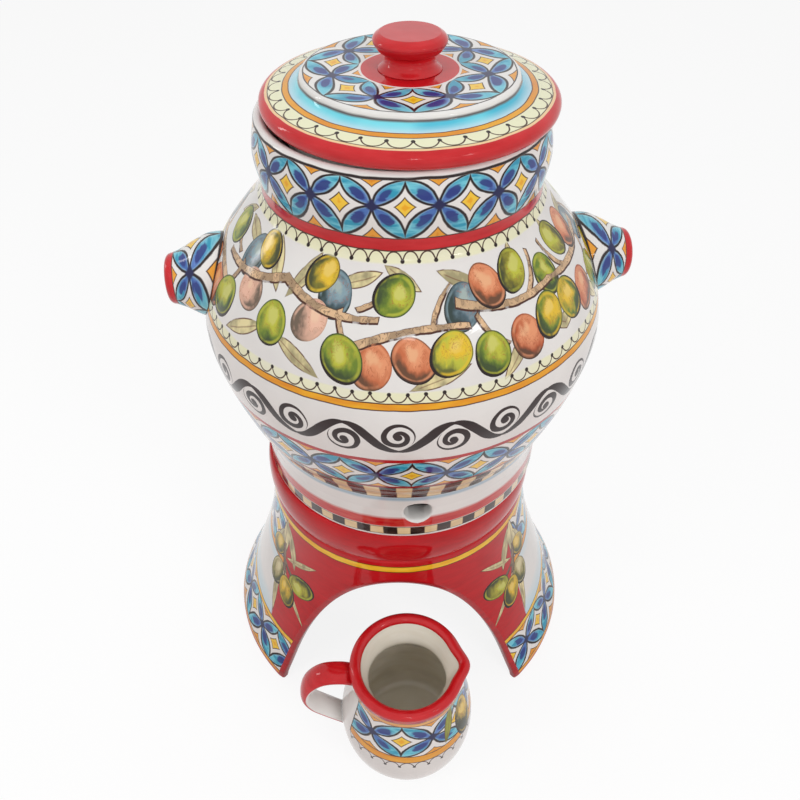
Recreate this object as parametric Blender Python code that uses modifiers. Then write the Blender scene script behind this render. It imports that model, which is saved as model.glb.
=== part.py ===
"""Glazed oil jar on an arched stand, with its lid and the pouring jug that stands under its tap hole.

Metres, +Z up. The set stands on z = 0 and its box is centred on the origin, with the arch and the
tap hole facing -Y. Every turned piece is a profile of (radius, height) points spun about its own axis.
"""
import bpy
import bmesh
from math import atan2, cos, hypot, pi, radians, sin, tan
from mathutils import Matrix

# Clay that is luted or stacked keeps this gap, and every cutter runs this far past what it cuts
GAP = 0.0003
OVERRUN = 0.02

# The jar: outer radii, and where they are reached. The collar's bulge and the neck lie this far
# below the lip, and the belly lies at this share of the way up from the top of the foot to the neck.
JAR_HEIGHT = 0.2666
FOOT_RADIUS = 0.1035
BELLY_RADIUS = 0.1320
NECK_RADIUS = 0.0845
COLLAR_RADIUS = 0.0873
LIP_RADIUS = 0.0846
FOOT_TOP_LEVEL = 0.030
COLLAR_DROP = 0.0208
NECK_DROP = 0.0423
BELLY_SHARE = 0.538
JAR_WALL = 0.007
JAR_FLOOR = 0.009
JAR_FOOT_RING = 0.014
JAR_FOOT_RECESS = 0.006
JAR_FOOT_EDGE = 0.0025
JAR_INSIDE_CORNER = 0.016
# The jar is set down turned a little on its stand, and a little to the right of its middle
JAR_TURN = radians(6.0)
JAR_OFFSET = 0.0028
# From the neck down to the belly, and from the belly down to the foot:
# each point's share of the drop and its share of the change in radius
SHOULDER_SHARES = ((0.12, 0.13), (0.27, 0.38), (0.45, 0.64), (0.66, 0.84))
UNDERBODY_SHARES = ((0.32, 0.19), (0.65, 0.575), (0.80, 0.84))

# The tap hole, low in the front of the jar
TAP_HOLE_RADIUS = 0.0095
TAP_HOLE_LEVEL = 0.0273

# The two lugs at the sides of the shoulder, by which the jar is lifted, at this share of the way up
# from the belly to the neck
LUG_HEIGHT_SHARE = 0.273
LUG_REACH = 0.0200
LUG_END_RADIUS = 0.0165
LUG_BASE_RADIUS = 0.0285
LUG_END_ROUND = 0.004
LUG_ROOT = 0.034
# Along the lug, from its rounded end to its base: share of the length, share of the widening
LUG_FLARE_SHARES = ((0.22, 0.22), (0.50, 0.60), (0.80, 0.93))

# The lid: a plate with a rounded rim and a rising band, a raised disc, and a flange that drops
# into the mouth. Heights are above the lip that it rests on.
LID_RADIUS = 0.0845
LID_RIM_THICKNESS = 0.0104
LID_STEP_RADIUS = 0.0612
LID_STEP_FOOT_LEVEL = 0.0134
LID_STEP_HEIGHT = 0.0064
LID_STEP_ROUND = 0.0028
LID_PLATE = 0.0108
FLANGE_CLEARANCE = 0.0052
FLANGE_WALL = 0.0075
FLANGE_DEPTH = 0.012
# The lid lies to one side of the mouth, within the flange's clearance
LID_OFFSET = 0.0043

# The knob on the lid
KNOB_HEIGHT = 0.0188
KNOB_HEAD_RADIUS = 0.0204
KNOB_TOP_RADIUS = 0.0168
KNOB_UNDER_RADIUS = 0.0176
KNOB_NECK_RADIUS = 0.0143
KNOB_BASE_RADIUS = 0.0180
KNOB_HEAD_HEIGHT = 0.0088
# The neck's upper and lower end as shares of the height of the head's underside
KNOB_NECK_SHARES = (0.84, 0.38)

# The stand: a thrown bell, open below, with a flat seat and a ring moulding at the top
STAND_HEIGHT = 0.1978
STAND_BASE_RADIUS = 0.1512
STAND_NECK_RADIUS = 0.1024
STAND_WALL = 0.0095
STAND_FOOT_EDGE = 0.002
SEAT_RADIUS = 0.1015
SEAT_HOLE_RADIUS = 0.062
SEAT_THICKNESS = 0.009
RING_RADIUS = 0.1048
RING_HEIGHT = 0.0310
# Down the side, from the neck to the base: share of the drop, share of the widening
FLARE_SHARES = ((0.12, 0.045), (0.26, 0.12), (0.40, 0.23), (0.56, 0.40), (0.86, 0.76), (0.95, 0.92))

# The arch cut in the front of the stand: half an ellipse, this half angle round the axis and this high
ARCH_HALF_ANGLE = radians(43.0)
ARCH_HEIGHT = 0.1412
ARCH_STEPS = 16

# The jug and its place in front of the jar's axis. Its neck lies this far below the rim, and its belly
# at this share of the neck's height. Inside, it narrows to a throat below the rim.
JUG_DISTANCE = 0.1537
JUG_SIDE_SHIFT = 0.0036
JUG_HEIGHT = 0.114
JUG_FOOT_RADIUS = 0.0375
JUG_BELLY_RADIUS = 0.0513
JUG_NECK_RADIUS = 0.0412
JUG_RIM_RADIUS = 0.0427
JUG_THROAT_RADIUS = 0.0290
JUG_NECK_DROP = 0.0145
JUG_THROAT_DROP = 0.0215
JUG_BELLY_SHARE = 0.422
JUG_RIM_THICKNESS = 0.0085
JUG_WALL = 0.0050
JUG_FLOOR = 0.006
JUG_FOOT_RING = 0.006
JUG_FOOT_RECESS = 0.003
JUG_INSIDE_CORNER = 0.012
# Down from the jug's neck to its belly, from its belly to its foot, and inside from its throat
# to its belly
JUG_SHOULDER_SHARES = ((0.15, 0.10), (0.38, 0.42), (0.70, 0.86))
JUG_UNDERBODY_SHARES = ((0.38, 0.13), (0.70, 0.48))
JUG_THROAT_SHARES = ((0.28, 0.30), (0.62, 0.78))
SPOUT_REACH = 0.0042
SPOUT_DEPTH = 0.030
SPOUT_HALF_ANGLE = radians(30.0)

# The jug's handle: a strap that leaves the rim and comes back to the belly. Its top lies this far
# below the rim, and its lower root at this share of the jug's height.
HANDLE_TURN = radians(4.0)
HANDLE_REACH = 0.0770
HANDLE_ROOT_REACH = 0.0370
HANDLE_TOP_DROP = 0.0085
HANDLE_ROOT_SHARE = 0.298
HANDLE_THICKNESS = 0.0084
HANDLE_WIDTH = 0.0180
# Along the strap: share of the reach past the root, share of the height between its two roots
HANDLE_SHARES = ((0.0, 0.92), (0.30, 0.99), (0.64, 0.98), (0.90, 0.84), (1.0, 0.64),
                 (0.90, 0.45), (0.66, 0.29), (0.38, 0.13), (0.10, -0.04))

# Facets round the large and the small turned pieces, and along a smooth line
LARGE_STEPS = 48
JUG_STEPS = 36
SMALL_STEPS = 24
LINE_STEPS = 2
ARC_STEPS = 4

MERGE_DISTANCE = 0.00005
SMOOTH_ANGLE = radians(35.0)

# The axes stand behind the origin, so that the box of jug and stand together is centred on it
AXIS_Y = (JUG_DISTANCE + JUG_BELLY_RADIUS - STAND_BASE_RADIUS) / 2
JAR_BASE = STAND_HEIGHT + GAP

# Heights on the jar and on the jug, above their feet
NECK_LEVEL = JAR_HEIGHT - NECK_DROP
COLLAR_LEVEL = JAR_HEIGHT - COLLAR_DROP
BELLY_LEVEL = FOOT_TOP_LEVEL + (NECK_LEVEL - FOOT_TOP_LEVEL) * BELLY_SHARE
LUG_LEVEL = BELLY_LEVEL + (NECK_LEVEL - BELLY_LEVEL) * LUG_HEIGHT_SHARE
JUG_NECK_LEVEL = JUG_HEIGHT - JUG_NECK_DROP
JUG_BELLY_LEVEL = JUG_NECK_LEVEL * JUG_BELLY_SHARE
MOUTH_RADIUS = LIP_RADIUS - JAR_WALL


def clear_scene():
    """Removes every object that the file starts with."""
    for item in list(bpy.data.objects):
        bpy.data.objects.remove(item, do_unlink=True)


def new_collection(name):
    """A collection linked to the scene."""
    collection = bpy.data.collections.new(name)
    bpy.context.scene.collection.children.link(collection)
    return collection


def glaze(name, colour, roughness=0.12):
    """A glazed clay material in one colour."""
    material = bpy.data.materials.new(name)
    material.use_nodes = True
    shader = material.node_tree.nodes["Principled BSDF"]
    shader.inputs["Base Color"].default_value = (*colour, 1.0)
    shader.inputs["Roughness"].default_value = roughness
    shader.inputs["Metallic"].default_value = 0.0
    return material


def place(name, data, collection, parent=None):
    """An object in a collection, under a parent empty if one is given."""
    item = bpy.data.objects.new(name, data)
    collection.objects.link(item)
    item.parent = parent
    return item


def axis_empty(name, collection, location, turn=0.0):
    """An empty on the axis of a piece, which carries that piece."""
    empty = place(name, None, collection)
    empty.location = location
    empty.rotation_euler = (0.0, 0.0, turn)
    return empty


def between(low, high, share):
    """The value at a share of the way from low to high."""
    return low + (high - low) * share


def stations(start, end, shares):
    """Points between two (radius, height) points, each at its share of the height and of the radius."""
    return [(between(start[0], end[0], across), between(start[1], end[1], along))
            for along, across in shares]


def smooth_line(points, steps=LINE_STEPS):
    """Points along a curve that passes smoothly through the given points."""
    line = []
    last = len(points) - 1
    for index in range(last):
        before = points[max(index - 1, 0)]
        start = points[index]
        end = points[index + 1]
        after = points[min(index + 2, last)]
        for step in range(steps):
            share = step / steps
            line.append(tuple(
                0.5 * (2 * b + (c - a) * share + (2 * a - 5 * b + 4 * c - d) * share ** 2
                       + (3 * b - a - 3 * c + d) * share ** 3)
                for a, b, c, d in zip(before, start, end, after)))
    line.append(points[-1])
    return line


def offset_line(points, distance):
    """The line moved sideways: to the right of its direction for a positive distance."""
    moved = []
    last = len(points) - 1
    for index, (radius, height) in enumerate(points):
        before = points[max(index - 1, 0)]
        after = points[min(index + 1, last)]
        run = after[0] - before[0]
        rise = after[1] - before[1]
        length = hypot(run, rise)
        moved.append((radius + distance * rise / length, height - distance * run / length))
    return moved


def arc(centre, across, up, start, end, steps=ARC_STEPS):
    """Points on an ellipse's arc, with angles in degrees counted from the outside upwards."""
    angles = [radians(between(start, end, step / steps)) for step in range(steps + 1)]
    return [(centre[0] + across * cos(angle), centre[1] + up * sin(angle)) for angle in angles]


def turned(name, outline, steps, collection, parent=None, closed=False):
    """A profile of (radius, height) points, spun about its object's Z axis."""
    mesh = bpy.data.meshes.new(name)
    edges = [(index, index + 1) for index in range(len(outline) - 1)]
    if closed:
        edges.append((len(outline) - 1, 0))
    mesh.from_pydata([(radius, 0.0, height) for radius, height in outline], edges, [])
    item = place(name, mesh, collection, parent)
    screw = item.modifiers.new("spin", "SCREW")
    screw.axis = "Z"
    screw.angle = 2 * pi
    screw.steps = steps
    screw.render_steps = steps
    screw.use_merge_vertices = True
    screw.merge_threshold = MERGE_DISTANCE
    screw.use_smooth_shade = True
    return item


def hide_cutter(item):
    """Marks an object as a cutter, which is not part of the set."""
    item.hide_render = True
    item.display_type = "WIRE"
    return item


def cut(item, cutter):
    """Takes the cutter's shape out of an object."""
    boolean = item.modifiers.new("cut by " + cutter.name, "BOOLEAN")
    boolean.operation = "DIFFERENCE"
    boolean.solver = "EXACT"
    boolean.object = hide_cutter(cutter)


def as_mesh(item, name, collection, stretch=None):
    """The evaluated shape of an object as a new mesh object in its place, stretched if asked."""
    graph = bpy.context.evaluated_depsgraph_get()
    mesh = bpy.data.meshes.new_from_object(item.evaluated_get(graph))
    shape = bmesh.new()
    shape.from_mesh(mesh)
    bmesh.ops.remove_doubles(shape, verts=shape.verts, dist=MERGE_DISTANCE)
    shape.to_mesh(mesh)
    shape.free()
    if stretch:
        mesh.transform(stretch)
    mesh.name = name
    parent = item.parent
    world = item.matrix_world.copy()
    bpy.data.objects.remove(item, do_unlink=True)
    made = place(name, mesh, collection, parent)
    made.matrix_world = world
    mesh.shade_smooth()
    mesh.set_sharp_from_angle(angle=SMOOTH_ANGLE)
    return made


def jar_side(gap=0.0):
    """The jar's outer side from the lip down to the foot, moved out by a gap."""
    lip = (LIP_RADIUS, JAR_HEIGHT - JAR_WALL / 2)
    collar = (COLLAR_RADIUS, COLLAR_LEVEL)
    neck = (NECK_RADIUS, NECK_LEVEL)
    belly = (BELLY_RADIUS, BELLY_LEVEL)
    foot_top = (FOOT_RADIUS, FOOT_TOP_LEVEL)
    foot = (FOOT_RADIUS, JAR_FOOT_EDGE)
    shoulder = stations(neck, belly, SHOULDER_SHARES)
    underbody = stations(belly, foot_top, UNDERBODY_SHARES)
    line = smooth_line([lip, collar, neck, *shoulder, belly, *underbody, foot_top]) + [foot]
    return offset_line(line, -gap)


def jar_outline():
    """The jar's whole profile, from its inside floor over the lip to the recess under its foot."""
    floor = JAR_FOOT_RECESS + JAR_FLOOR
    corner_level = floor + JAR_INSIDE_CORNER
    wall_inside = offset_line(jar_side(), JAR_WALL)
    inner = [point for point in wall_inside if corner_level < point[1] < JAR_HEIGHT - JAR_WALL]
    inner.reverse()
    corner = arc((FOOT_RADIUS - JAR_WALL - JAR_INSIDE_CORNER, corner_level),
                 JAR_INSIDE_CORNER, JAR_INSIDE_CORNER, -90, 0)
    half_wall = JAR_WALL / 2
    lip = arc((LIP_RADIUS - half_wall, JAR_HEIGHT - half_wall), half_wall, half_wall, 180, 0)
    edge = arc((FOOT_RADIUS - JAR_FOOT_EDGE, JAR_FOOT_EDGE), JAR_FOOT_EDGE, JAR_FOOT_EDGE, 0, -90, 2)
    ring_inside = FOOT_RADIUS - JAR_FOOT_RING
    foot = [(ring_inside, 0.0), (ring_inside - JAR_FOOT_RECESS, JAR_FOOT_RECESS), (0.0, JAR_FOOT_RECESS)]
    return [(0.0, floor), *corner, *inner, *lip, *jar_side()[1:], *edge[1:], *foot]


def jar_body(collection, cutters, axis):
    """The thrown jar with its tap hole."""
    body = turned("jar_body", jar_outline(), LARGE_STEPS, collection, axis)
    depth = JAR_WALL + 2 * OVERRUN
    bpy.ops.mesh.primitive_cylinder_add(vertices=SMALL_STEPS, radius=TAP_HOLE_RADIUS, depth=depth)
    drill = bpy.context.object
    drill.name = "tap_drill"
    move_to_collection(drill, cutters)
    drill.parent = axis
    drill.location = (0.0, JAR_WALL / 2 - FOOT_RADIUS, TAP_HOLE_LEVEL)
    drill.rotation_euler = (pi / 2, 0.0, 0.0)
    cut(body, drill)
    body.data.materials.append(glaze("jar_glaze", (0.86, 0.84, 0.80)))
    return body


def move_to_collection(item, collection):
    """Puts an object in one collection only."""
    for holder in list(item.users_collection):
        holder.objects.unlink(item)
    collection.objects.link(item)


def lug_outline(length):
    """Half the profile of a lug, from its rounded end to the root that the jar's wall cuts off."""
    edge_level = length - LUG_END_ROUND
    edge = arc((LUG_END_RADIUS - LUG_END_ROUND, edge_level), LUG_END_ROUND, LUG_END_ROUND, 90, 10, 3)
    narrow = (LUG_END_RADIUS, edge_level)
    wide = (LUG_BASE_RADIUS, LUG_ROOT)
    flare = smooth_line([narrow, *stations(narrow, wide, LUG_FLARE_SHARES), wide])
    return [(0.0, length), *edge, *flare[1:], (LUG_BASE_RADIUS, 0.0), (0.0, 0.0)]


def jar_lugs(collection, cutters, axis):
    """The left and right lug, each cut to the jar's wall."""
    outline = [(0.0, JAR_HEIGHT), *jar_side(GAP), (0.0, 0.0)]
    form = turned("jar_form", outline, LARGE_STEPS, cutters, axis)
    end_distance = BELLY_RADIUS + LUG_REACH
    root_distance = NECK_RADIUS
    for name, side in (("handle_left", -1), ("handle_right", 1)):
        lug = turned(name, lug_outline(end_distance - root_distance), SMALL_STEPS, collection, axis)
        lug.location = (side * root_distance, 0.0, LUG_LEVEL)
        lug.rotation_euler = (0.0, side * pi / 2, 0.0)
        cut(lug, form)
        lug.data.materials.append(glaze(name + "_glaze", (0.45, 0.62, 0.72)))


def lid_top_level():
    """The height of the lid's disc above its rest."""
    return LID_STEP_FOOT_LEVEL + LID_STEP_HEIGHT


def lid_outline():
    """The lid's whole profile, from the middle of its top to the middle of its underside."""
    half_rim = LID_RIM_THICKNESS / 2
    rim = arc((LID_RADIUS - half_rim, half_rim), half_rim, half_rim, 75, -90, 7)
    step_centre = (LID_STEP_RADIUS - LID_STEP_ROUND, lid_top_level() - LID_STEP_ROUND)
    step = arc(step_centre, LID_STEP_ROUND, LID_STEP_ROUND, 90, 0, 3)
    step_foot = (LID_STEP_RADIUS + LID_STEP_HEIGHT / 3, LID_STEP_FOOT_LEVEL)
    flange_outside = MOUTH_RADIUS - FLANGE_CLEARANCE
    flange_inside = flange_outside - FLANGE_WALL
    under_plate = lid_top_level() - LID_PLATE
    flange = [(flange_outside, 0.0), (flange_outside, -FLANGE_DEPTH), (flange_inside, -FLANGE_DEPTH)]
    under = [(flange_inside - FLANGE_WALL / 2, under_plate), (0.0, under_plate)]
    return [(0.0, lid_top_level()), *step, step_foot, *rim, *flange, *under]


def knob_outline():
    """The knob's profile, from the middle of its top to the middle of its base."""
    head_level = KNOB_HEIGHT - KNOB_HEAD_HEIGHT / 2
    head_low = KNOB_HEIGHT - KNOB_HEAD_HEIGHT
    top_round = KNOB_HEAD_RADIUS - KNOB_TOP_RADIUS
    neck = [(KNOB_NECK_RADIUS, head_low * share) for share in KNOB_NECK_SHARES]
    side = smooth_line([
        (KNOB_TOP_RADIUS, KNOB_HEIGHT),
        (KNOB_HEAD_RADIUS - top_round / 4, KNOB_HEIGHT - top_round / 2),
        (KNOB_HEAD_RADIUS, head_level),
        (KNOB_UNDER_RADIUS, head_low),
        *neck,
        (KNOB_BASE_RADIUS, 0.0)])
    return [(0.0, KNOB_HEIGHT), *side, (0.0, 0.0)]


def lid_pieces(collection):
    """The lid and the knob luted on it."""
    rest_level = JAR_BASE + JAR_HEIGHT + GAP
    axis = axis_empty("lid_axis", collection, (JAR_OFFSET + LID_OFFSET, AXIS_Y, rest_level), JAR_TURN)
    lid = turned("lid", lid_outline(), LARGE_STEPS, collection, axis)
    lid.data.materials.append(glaze("lid_glaze", (0.62, 0.74, 0.74)))
    knob = turned("lid_knob", knob_outline(), SMALL_STEPS, collection, axis)
    knob.location = (0.0, 0.0, lid_top_level() + GAP)
    knob.data.materials.append(glaze("knob_glaze", (0.70, 0.06, 0.05)))


def stand_outline():
    """The stand's closed profile, from the seat down its outside and up its inside."""
    side_height = STAND_HEIGHT - RING_HEIGHT
    neck = (STAND_NECK_RADIUS, side_height)
    base = (STAND_BASE_RADIUS, STAND_FOOT_EDGE)
    side = smooth_line([neck, *stations(neck, base, FLARE_SHARES), base])
    ring_centre = (SEAT_RADIUS, STAND_HEIGHT - RING_HEIGHT / 2)
    ring = arc(ring_centre, RING_RADIUS - SEAT_RADIUS, RING_HEIGHT / 2, 90, -80, 7)
    inner = [point for point in offset_line(side, STAND_WALL) if point[1] > STAND_FOOT_EDGE]
    inner.reverse()
    foot_radius = STAND_BASE_RADIUS - STAND_FOOT_EDGE
    foot = [(foot_radius, 0.0), (foot_radius - STAND_WALL, 0.0)]
    under_seat = STAND_HEIGHT - SEAT_THICKNESS
    seat = [(inner[-1][0] - STAND_WALL / 2, under_seat), (SEAT_HOLE_RADIUS, under_seat)]
    return [(SEAT_HOLE_RADIUS, STAND_HEIGHT), *ring, *side, *foot, *inner[1:], *seat]


def arch_cutter(cutters, axis):
    """The arch's shape, drawn out from near the axis so that it is cut square to the wall."""
    arch = arc((0.0, 0.0), ARCH_HALF_ANGLE, ARCH_HEIGHT, 0, 180, ARCH_STEPS)
    outline = [(ARCH_HALF_ANGLE, -OVERRUN), *arch, (-ARCH_HALF_ANGLE, -OVERRUN)]
    near = STAND_NECK_RADIUS / 2
    far = STAND_BASE_RADIUS + OVERRUN
    points = [(depth * tan(angle), -depth, level) for depth in (near, far) for angle, level in outline]
    count = len(outline)
    after = [(step + 1) % count for step in range(count)]
    sides = [(step, after[step], count + after[step], count + step) for step in range(count)]
    caps = [tuple(reversed(range(count))), tuple(range(count, 2 * count))]
    mesh = bpy.data.meshes.new("arch_cutter")
    mesh.from_pydata(points, [], sides + caps)
    return place("arch_cutter", mesh, cutters, axis)


def stand_piece(collection, cutters):
    """The arched stand that carries the jar."""
    axis = axis_empty("stand_axis", collection, (0.0, AXIS_Y, 0.0))
    stand = turned("stand", stand_outline(), LARGE_STEPS, collection, axis, closed=True)
    cut(stand, arch_cutter(cutters, axis))
    stand.data.materials.append(glaze("stand_glaze", (0.72, 0.10, 0.08)))


def jug_side(gap=0.0):
    """The jug's outer side from under the rim down to the foot, moved out by a gap."""
    neck = (JUG_NECK_RADIUS, JUG_NECK_LEVEL)
    belly = (JUG_BELLY_RADIUS, JUG_BELLY_LEVEL)
    foot = (JUG_FOOT_RADIUS, 0.0)
    rim = (JUG_RIM_RADIUS, JUG_HEIGHT - JUG_RIM_THICKNESS / 2)
    shoulder = stations(neck, belly, JUG_SHOULDER_SHARES)
    underbody = stations(belly, foot, JUG_UNDERBODY_SHARES)
    return offset_line(smooth_line([rim, neck, *shoulder, belly, *underbody, foot]), -gap)


def jug_rim(start, steps, gap=0.0):
    """The rolled rim, from an angle in degrees round to its outside, moved out by a gap."""
    half = JUG_RIM_THICKNESS / 2
    return arc((JUG_RIM_RADIUS - half, JUG_HEIGHT - half), half + gap, half + gap, start, 0, steps)


def jug_outline():
    """The jug's whole profile, from its inside floor over the rim to the recess under its foot."""
    floor = JUG_FOOT_RECESS + JUG_FLOOR
    corner_level = floor + JUG_INSIDE_CORNER
    rim = jug_rim(180, 6)
    throat = (JUG_THROAT_RADIUS, JUG_HEIGHT - JUG_THROAT_DROP)
    belly = (JUG_BELLY_RADIUS - JUG_WALL, JUG_BELLY_LEVEL)
    bowl = smooth_line([rim[0], throat, *stations(throat, belly, JUG_THROAT_SHARES), belly])
    wall_inside = offset_line(jug_side(), JUG_WALL)
    lower = [point for point in wall_inside if corner_level < point[1] < JUG_BELLY_LEVEL]
    inner = [*bowl[1:], *lower]
    inner.reverse()
    corner_radius = inner[0][0] - JUG_INSIDE_CORNER
    corner = arc((corner_radius, corner_level), JUG_INSIDE_CORNER, JUG_INSIDE_CORNER, -90, 0)
    ring_inside = JUG_FOOT_RADIUS - JUG_FOOT_RING
    foot = [(ring_inside, 0.0), (ring_inside - JUG_FOOT_RECESS, JUG_FOOT_RECESS), (0.0, JUG_FOOT_RECESS)]
    return [(0.0, floor), *corner[:-1], *inner, *rim, *jug_side()[1:], *foot]


def pull_spout(mesh):
    """Draws the rim out on the +X side, most at the top and nothing below the spout's depth."""
    for vertex in mesh.vertices:
        angle = atan2(vertex.co.y, vertex.co.x)
        depth = (JUG_HEIGHT - vertex.co.z) / SPOUT_DEPTH
        if abs(angle) < SPOUT_HALF_ANGLE and depth < 1:
            across = (1 + cos(pi * angle / SPOUT_HALF_ANGLE)) / 2
            down = (1 + cos(pi * depth)) / 2
            vertex.co.x += SPOUT_REACH * across * across * down


def jug_pieces(collection, cutters):
    """The pouring jug and the strap handle luted to it."""
    axis = axis_empty("jug_axis", collection, (JAR_OFFSET + JUG_SIDE_SHIFT, AXIS_Y - JUG_DISTANCE, 0.0))
    spun = turned("jug_spun", jug_outline(), JUG_STEPS, collection, axis)
    bpy.context.view_layer.update()
    body = as_mesh(spun, "jug_body", collection)
    pull_spout(body.data)
    body.data.materials.append(glaze("jug_glaze", (0.84, 0.82, 0.76)))
    outline = [(0.0, JUG_HEIGHT + GAP), *jug_rim(90, 3, GAP), *jug_side(GAP)[1:], (0.0, 0.0)]
    form = turned("jug_form", outline, JUG_STEPS, cutters, axis)
    handle = jug_handle(collection, axis)
    cut(handle, form)
    handle.data.materials.append(glaze("jug_handle_glaze", (0.70, 0.06, 0.05)))


def jug_handle(collection, axis):
    """The handle: a curve in the plane of the jug's axis, widened to a strap."""
    curve = bpy.data.curves.new("handle_line", "CURVE")
    curve.dimensions = "3D"
    curve.bevel_depth = HANDLE_THICKNESS / 2
    curve.bevel_resolution = 2
    curve.use_fill_caps = True
    root = (HANDLE_ROOT_REACH, JUG_HEIGHT * HANDLE_ROOT_SHARE)
    bow = (HANDLE_REACH, JUG_HEIGHT - HANDLE_TOP_DROP)
    path = smooth_line([(between(root[0], bow[0], out), between(root[1], bow[1], up))
                        for out, up in HANDLE_SHARES])
    spline = curve.splines.new("POLY")
    spline.points.add(len(path) - 1)
    for point, (reach, level) in zip(spline.points, path):
        point.co = (-reach, 0.0, level, 1.0)
    item = place("handle_curve", curve, collection, axis)
    item.rotation_euler = (0.0, 0.0, HANDLE_TURN)
    bpy.context.view_layer.update()
    widen = Matrix.Diagonal((1.0, HANDLE_WIDTH / HANDLE_THICKNESS, 1.0, 1.0))
    return as_mesh(item, "jug_handle", collection, widen)


def build():
    """The whole set."""
    clear_scene()
    collection = new_collection("oil_jar")
    cutters = new_collection("cutters")
    stand_piece(collection, cutters)
    axis = axis_empty("jar_axis", collection, (JAR_OFFSET, AXIS_Y, JAR_BASE), JAR_TURN)
    jar_body(collection, cutters, axis)
    jar_lugs(collection, cutters, axis)
    lid_pieces(collection)
    jug_pieces(collection, cutters)


build()
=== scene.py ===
"""Looks of the oil jar set: fine turned meshes, hand-painted glaze, studio light and camera.

Metres, +Z up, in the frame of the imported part, with the front towards -Y. Paint is laid out on a map
of its own, where x is the turn round the piece's axis, 0.5 at its front, and y is the distance along
its profile in millimetres. Lengths inside the paint are in millimetres too.
"""
from math import atan2, cos, hypot, pi, radians, sin

import bmesh
import bpy
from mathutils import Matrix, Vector


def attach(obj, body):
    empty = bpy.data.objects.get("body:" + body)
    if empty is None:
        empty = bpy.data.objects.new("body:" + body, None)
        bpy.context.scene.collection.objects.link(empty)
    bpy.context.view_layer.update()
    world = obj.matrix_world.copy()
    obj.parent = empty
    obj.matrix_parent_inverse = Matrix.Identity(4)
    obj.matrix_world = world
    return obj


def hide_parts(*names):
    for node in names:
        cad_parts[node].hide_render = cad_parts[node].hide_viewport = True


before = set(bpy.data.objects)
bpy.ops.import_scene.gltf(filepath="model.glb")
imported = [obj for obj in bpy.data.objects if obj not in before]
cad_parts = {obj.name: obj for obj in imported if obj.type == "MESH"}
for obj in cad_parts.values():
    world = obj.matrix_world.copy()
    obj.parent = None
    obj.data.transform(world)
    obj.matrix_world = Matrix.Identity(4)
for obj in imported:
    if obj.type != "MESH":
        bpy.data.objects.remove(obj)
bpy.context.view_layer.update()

MM = 1000.0
SAME_POINT = 0.00001

# Sizes of the set, as in the solids
GAP = 0.0003
JAR_HEIGHT = 0.2666
FOOT_RADIUS = 0.1035
BELLY_RADIUS = 0.1320
NECK_RADIUS = 0.0845
COLLAR_RADIUS = 0.0873
LIP_RADIUS = 0.0846
FOOT_TOP_LEVEL = 0.030
COLLAR_DROP = 0.0208
NECK_DROP = 0.0423
BELLY_SHARE = 0.538
JAR_WALL = 0.007
JAR_FLOOR = 0.009
JAR_FOOT_RING = 0.014
JAR_FOOT_RECESS = 0.006
JAR_FOOT_EDGE = 0.0025
JAR_INSIDE_CORNER = 0.016
JAR_TURN = radians(6.0)
JAR_OFFSET = 0.0028
SHOULDER_SHARES = ((0.12, 0.13), (0.27, 0.38), (0.45, 0.64), (0.66, 0.84))
UNDERBODY_SHARES = ((0.32, 0.19), (0.65, 0.575), (0.80, 0.84))
TAP_HOLE_RADIUS = 0.0095
TAP_HOLE_LEVEL = 0.0273
TAP_HOLE_FLARE = 0.0022
LUG_HEIGHT_SHARE = 0.273
LUG_REACH = 0.0200
LUG_END_RADIUS = 0.0165
LUG_BASE_RADIUS = 0.0285
LUG_END_ROUND = 0.004
LUG_ROOT = 0.034
LUG_FLARE_SHARES = ((0.22, 0.22), (0.50, 0.60), (0.80, 0.93))
LID_RADIUS = 0.0845
LID_RIM_THICKNESS = 0.0104
LID_STEP_RADIUS = 0.0612
LID_STEP_FOOT_LEVEL = 0.0134
LID_STEP_HEIGHT = 0.0064
LID_STEP_ROUND = 0.0028
LID_PLATE = 0.0108
FLANGE_CLEARANCE = 0.0052
FLANGE_WALL = 0.0075
FLANGE_DEPTH = 0.012
LID_OFFSET = 0.0043
KNOB_HEIGHT = 0.0188
KNOB_HEAD_RADIUS = 0.0204
KNOB_TOP_RADIUS = 0.0168
KNOB_UNDER_RADIUS = 0.0176
KNOB_NECK_RADIUS = 0.0143
KNOB_BASE_RADIUS = 0.0180
KNOB_HEAD_HEIGHT = 0.0088
KNOB_NECK_SHARES = (0.84, 0.38)
STAND_HEIGHT = 0.1978
STAND_BASE_RADIUS = 0.1512
STAND_NECK_RADIUS = 0.1024
STAND_WALL = 0.0095
STAND_FOOT_EDGE = 0.002
SEAT_RADIUS = 0.1015
SEAT_HOLE_RADIUS = 0.062
SEAT_THICKNESS = 0.009
RING_RADIUS = 0.1048
RING_HEIGHT = 0.0310
FLARE_SHARES = ((0.12, 0.045), (0.26, 0.12), (0.40, 0.23), (0.56, 0.40), (0.86, 0.76), (0.95, 0.92))
ARCH_HALF_ANGLE = radians(43.0)
ARCH_HEIGHT = 0.1412
ARCH_EDGE_ROUND = 0.0048
JUG_DISTANCE = 0.1537
JUG_SIDE_SHIFT = 0.0036
JUG_HEIGHT = 0.114
JUG_FOOT_RADIUS = 0.0375
JUG_BELLY_RADIUS = 0.0513
JUG_NECK_RADIUS = 0.0412
JUG_RIM_RADIUS = 0.0427
JUG_THROAT_RADIUS = 0.0290
JUG_NECK_DROP = 0.0145
JUG_THROAT_DROP = 0.0215
JUG_BELLY_SHARE = 0.422
JUG_RIM_THICKNESS = 0.0085
JUG_WALL = 0.0050
JUG_FLOOR = 0.006
JUG_FOOT_RING = 0.006
JUG_FOOT_RECESS = 0.003
JUG_INSIDE_CORNER = 0.012
JUG_SHOULDER_SHARES = ((0.15, 0.10), (0.38, 0.42), (0.70, 0.86))
JUG_UNDERBODY_SHARES = ((0.38, 0.13), (0.70, 0.48))
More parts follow.
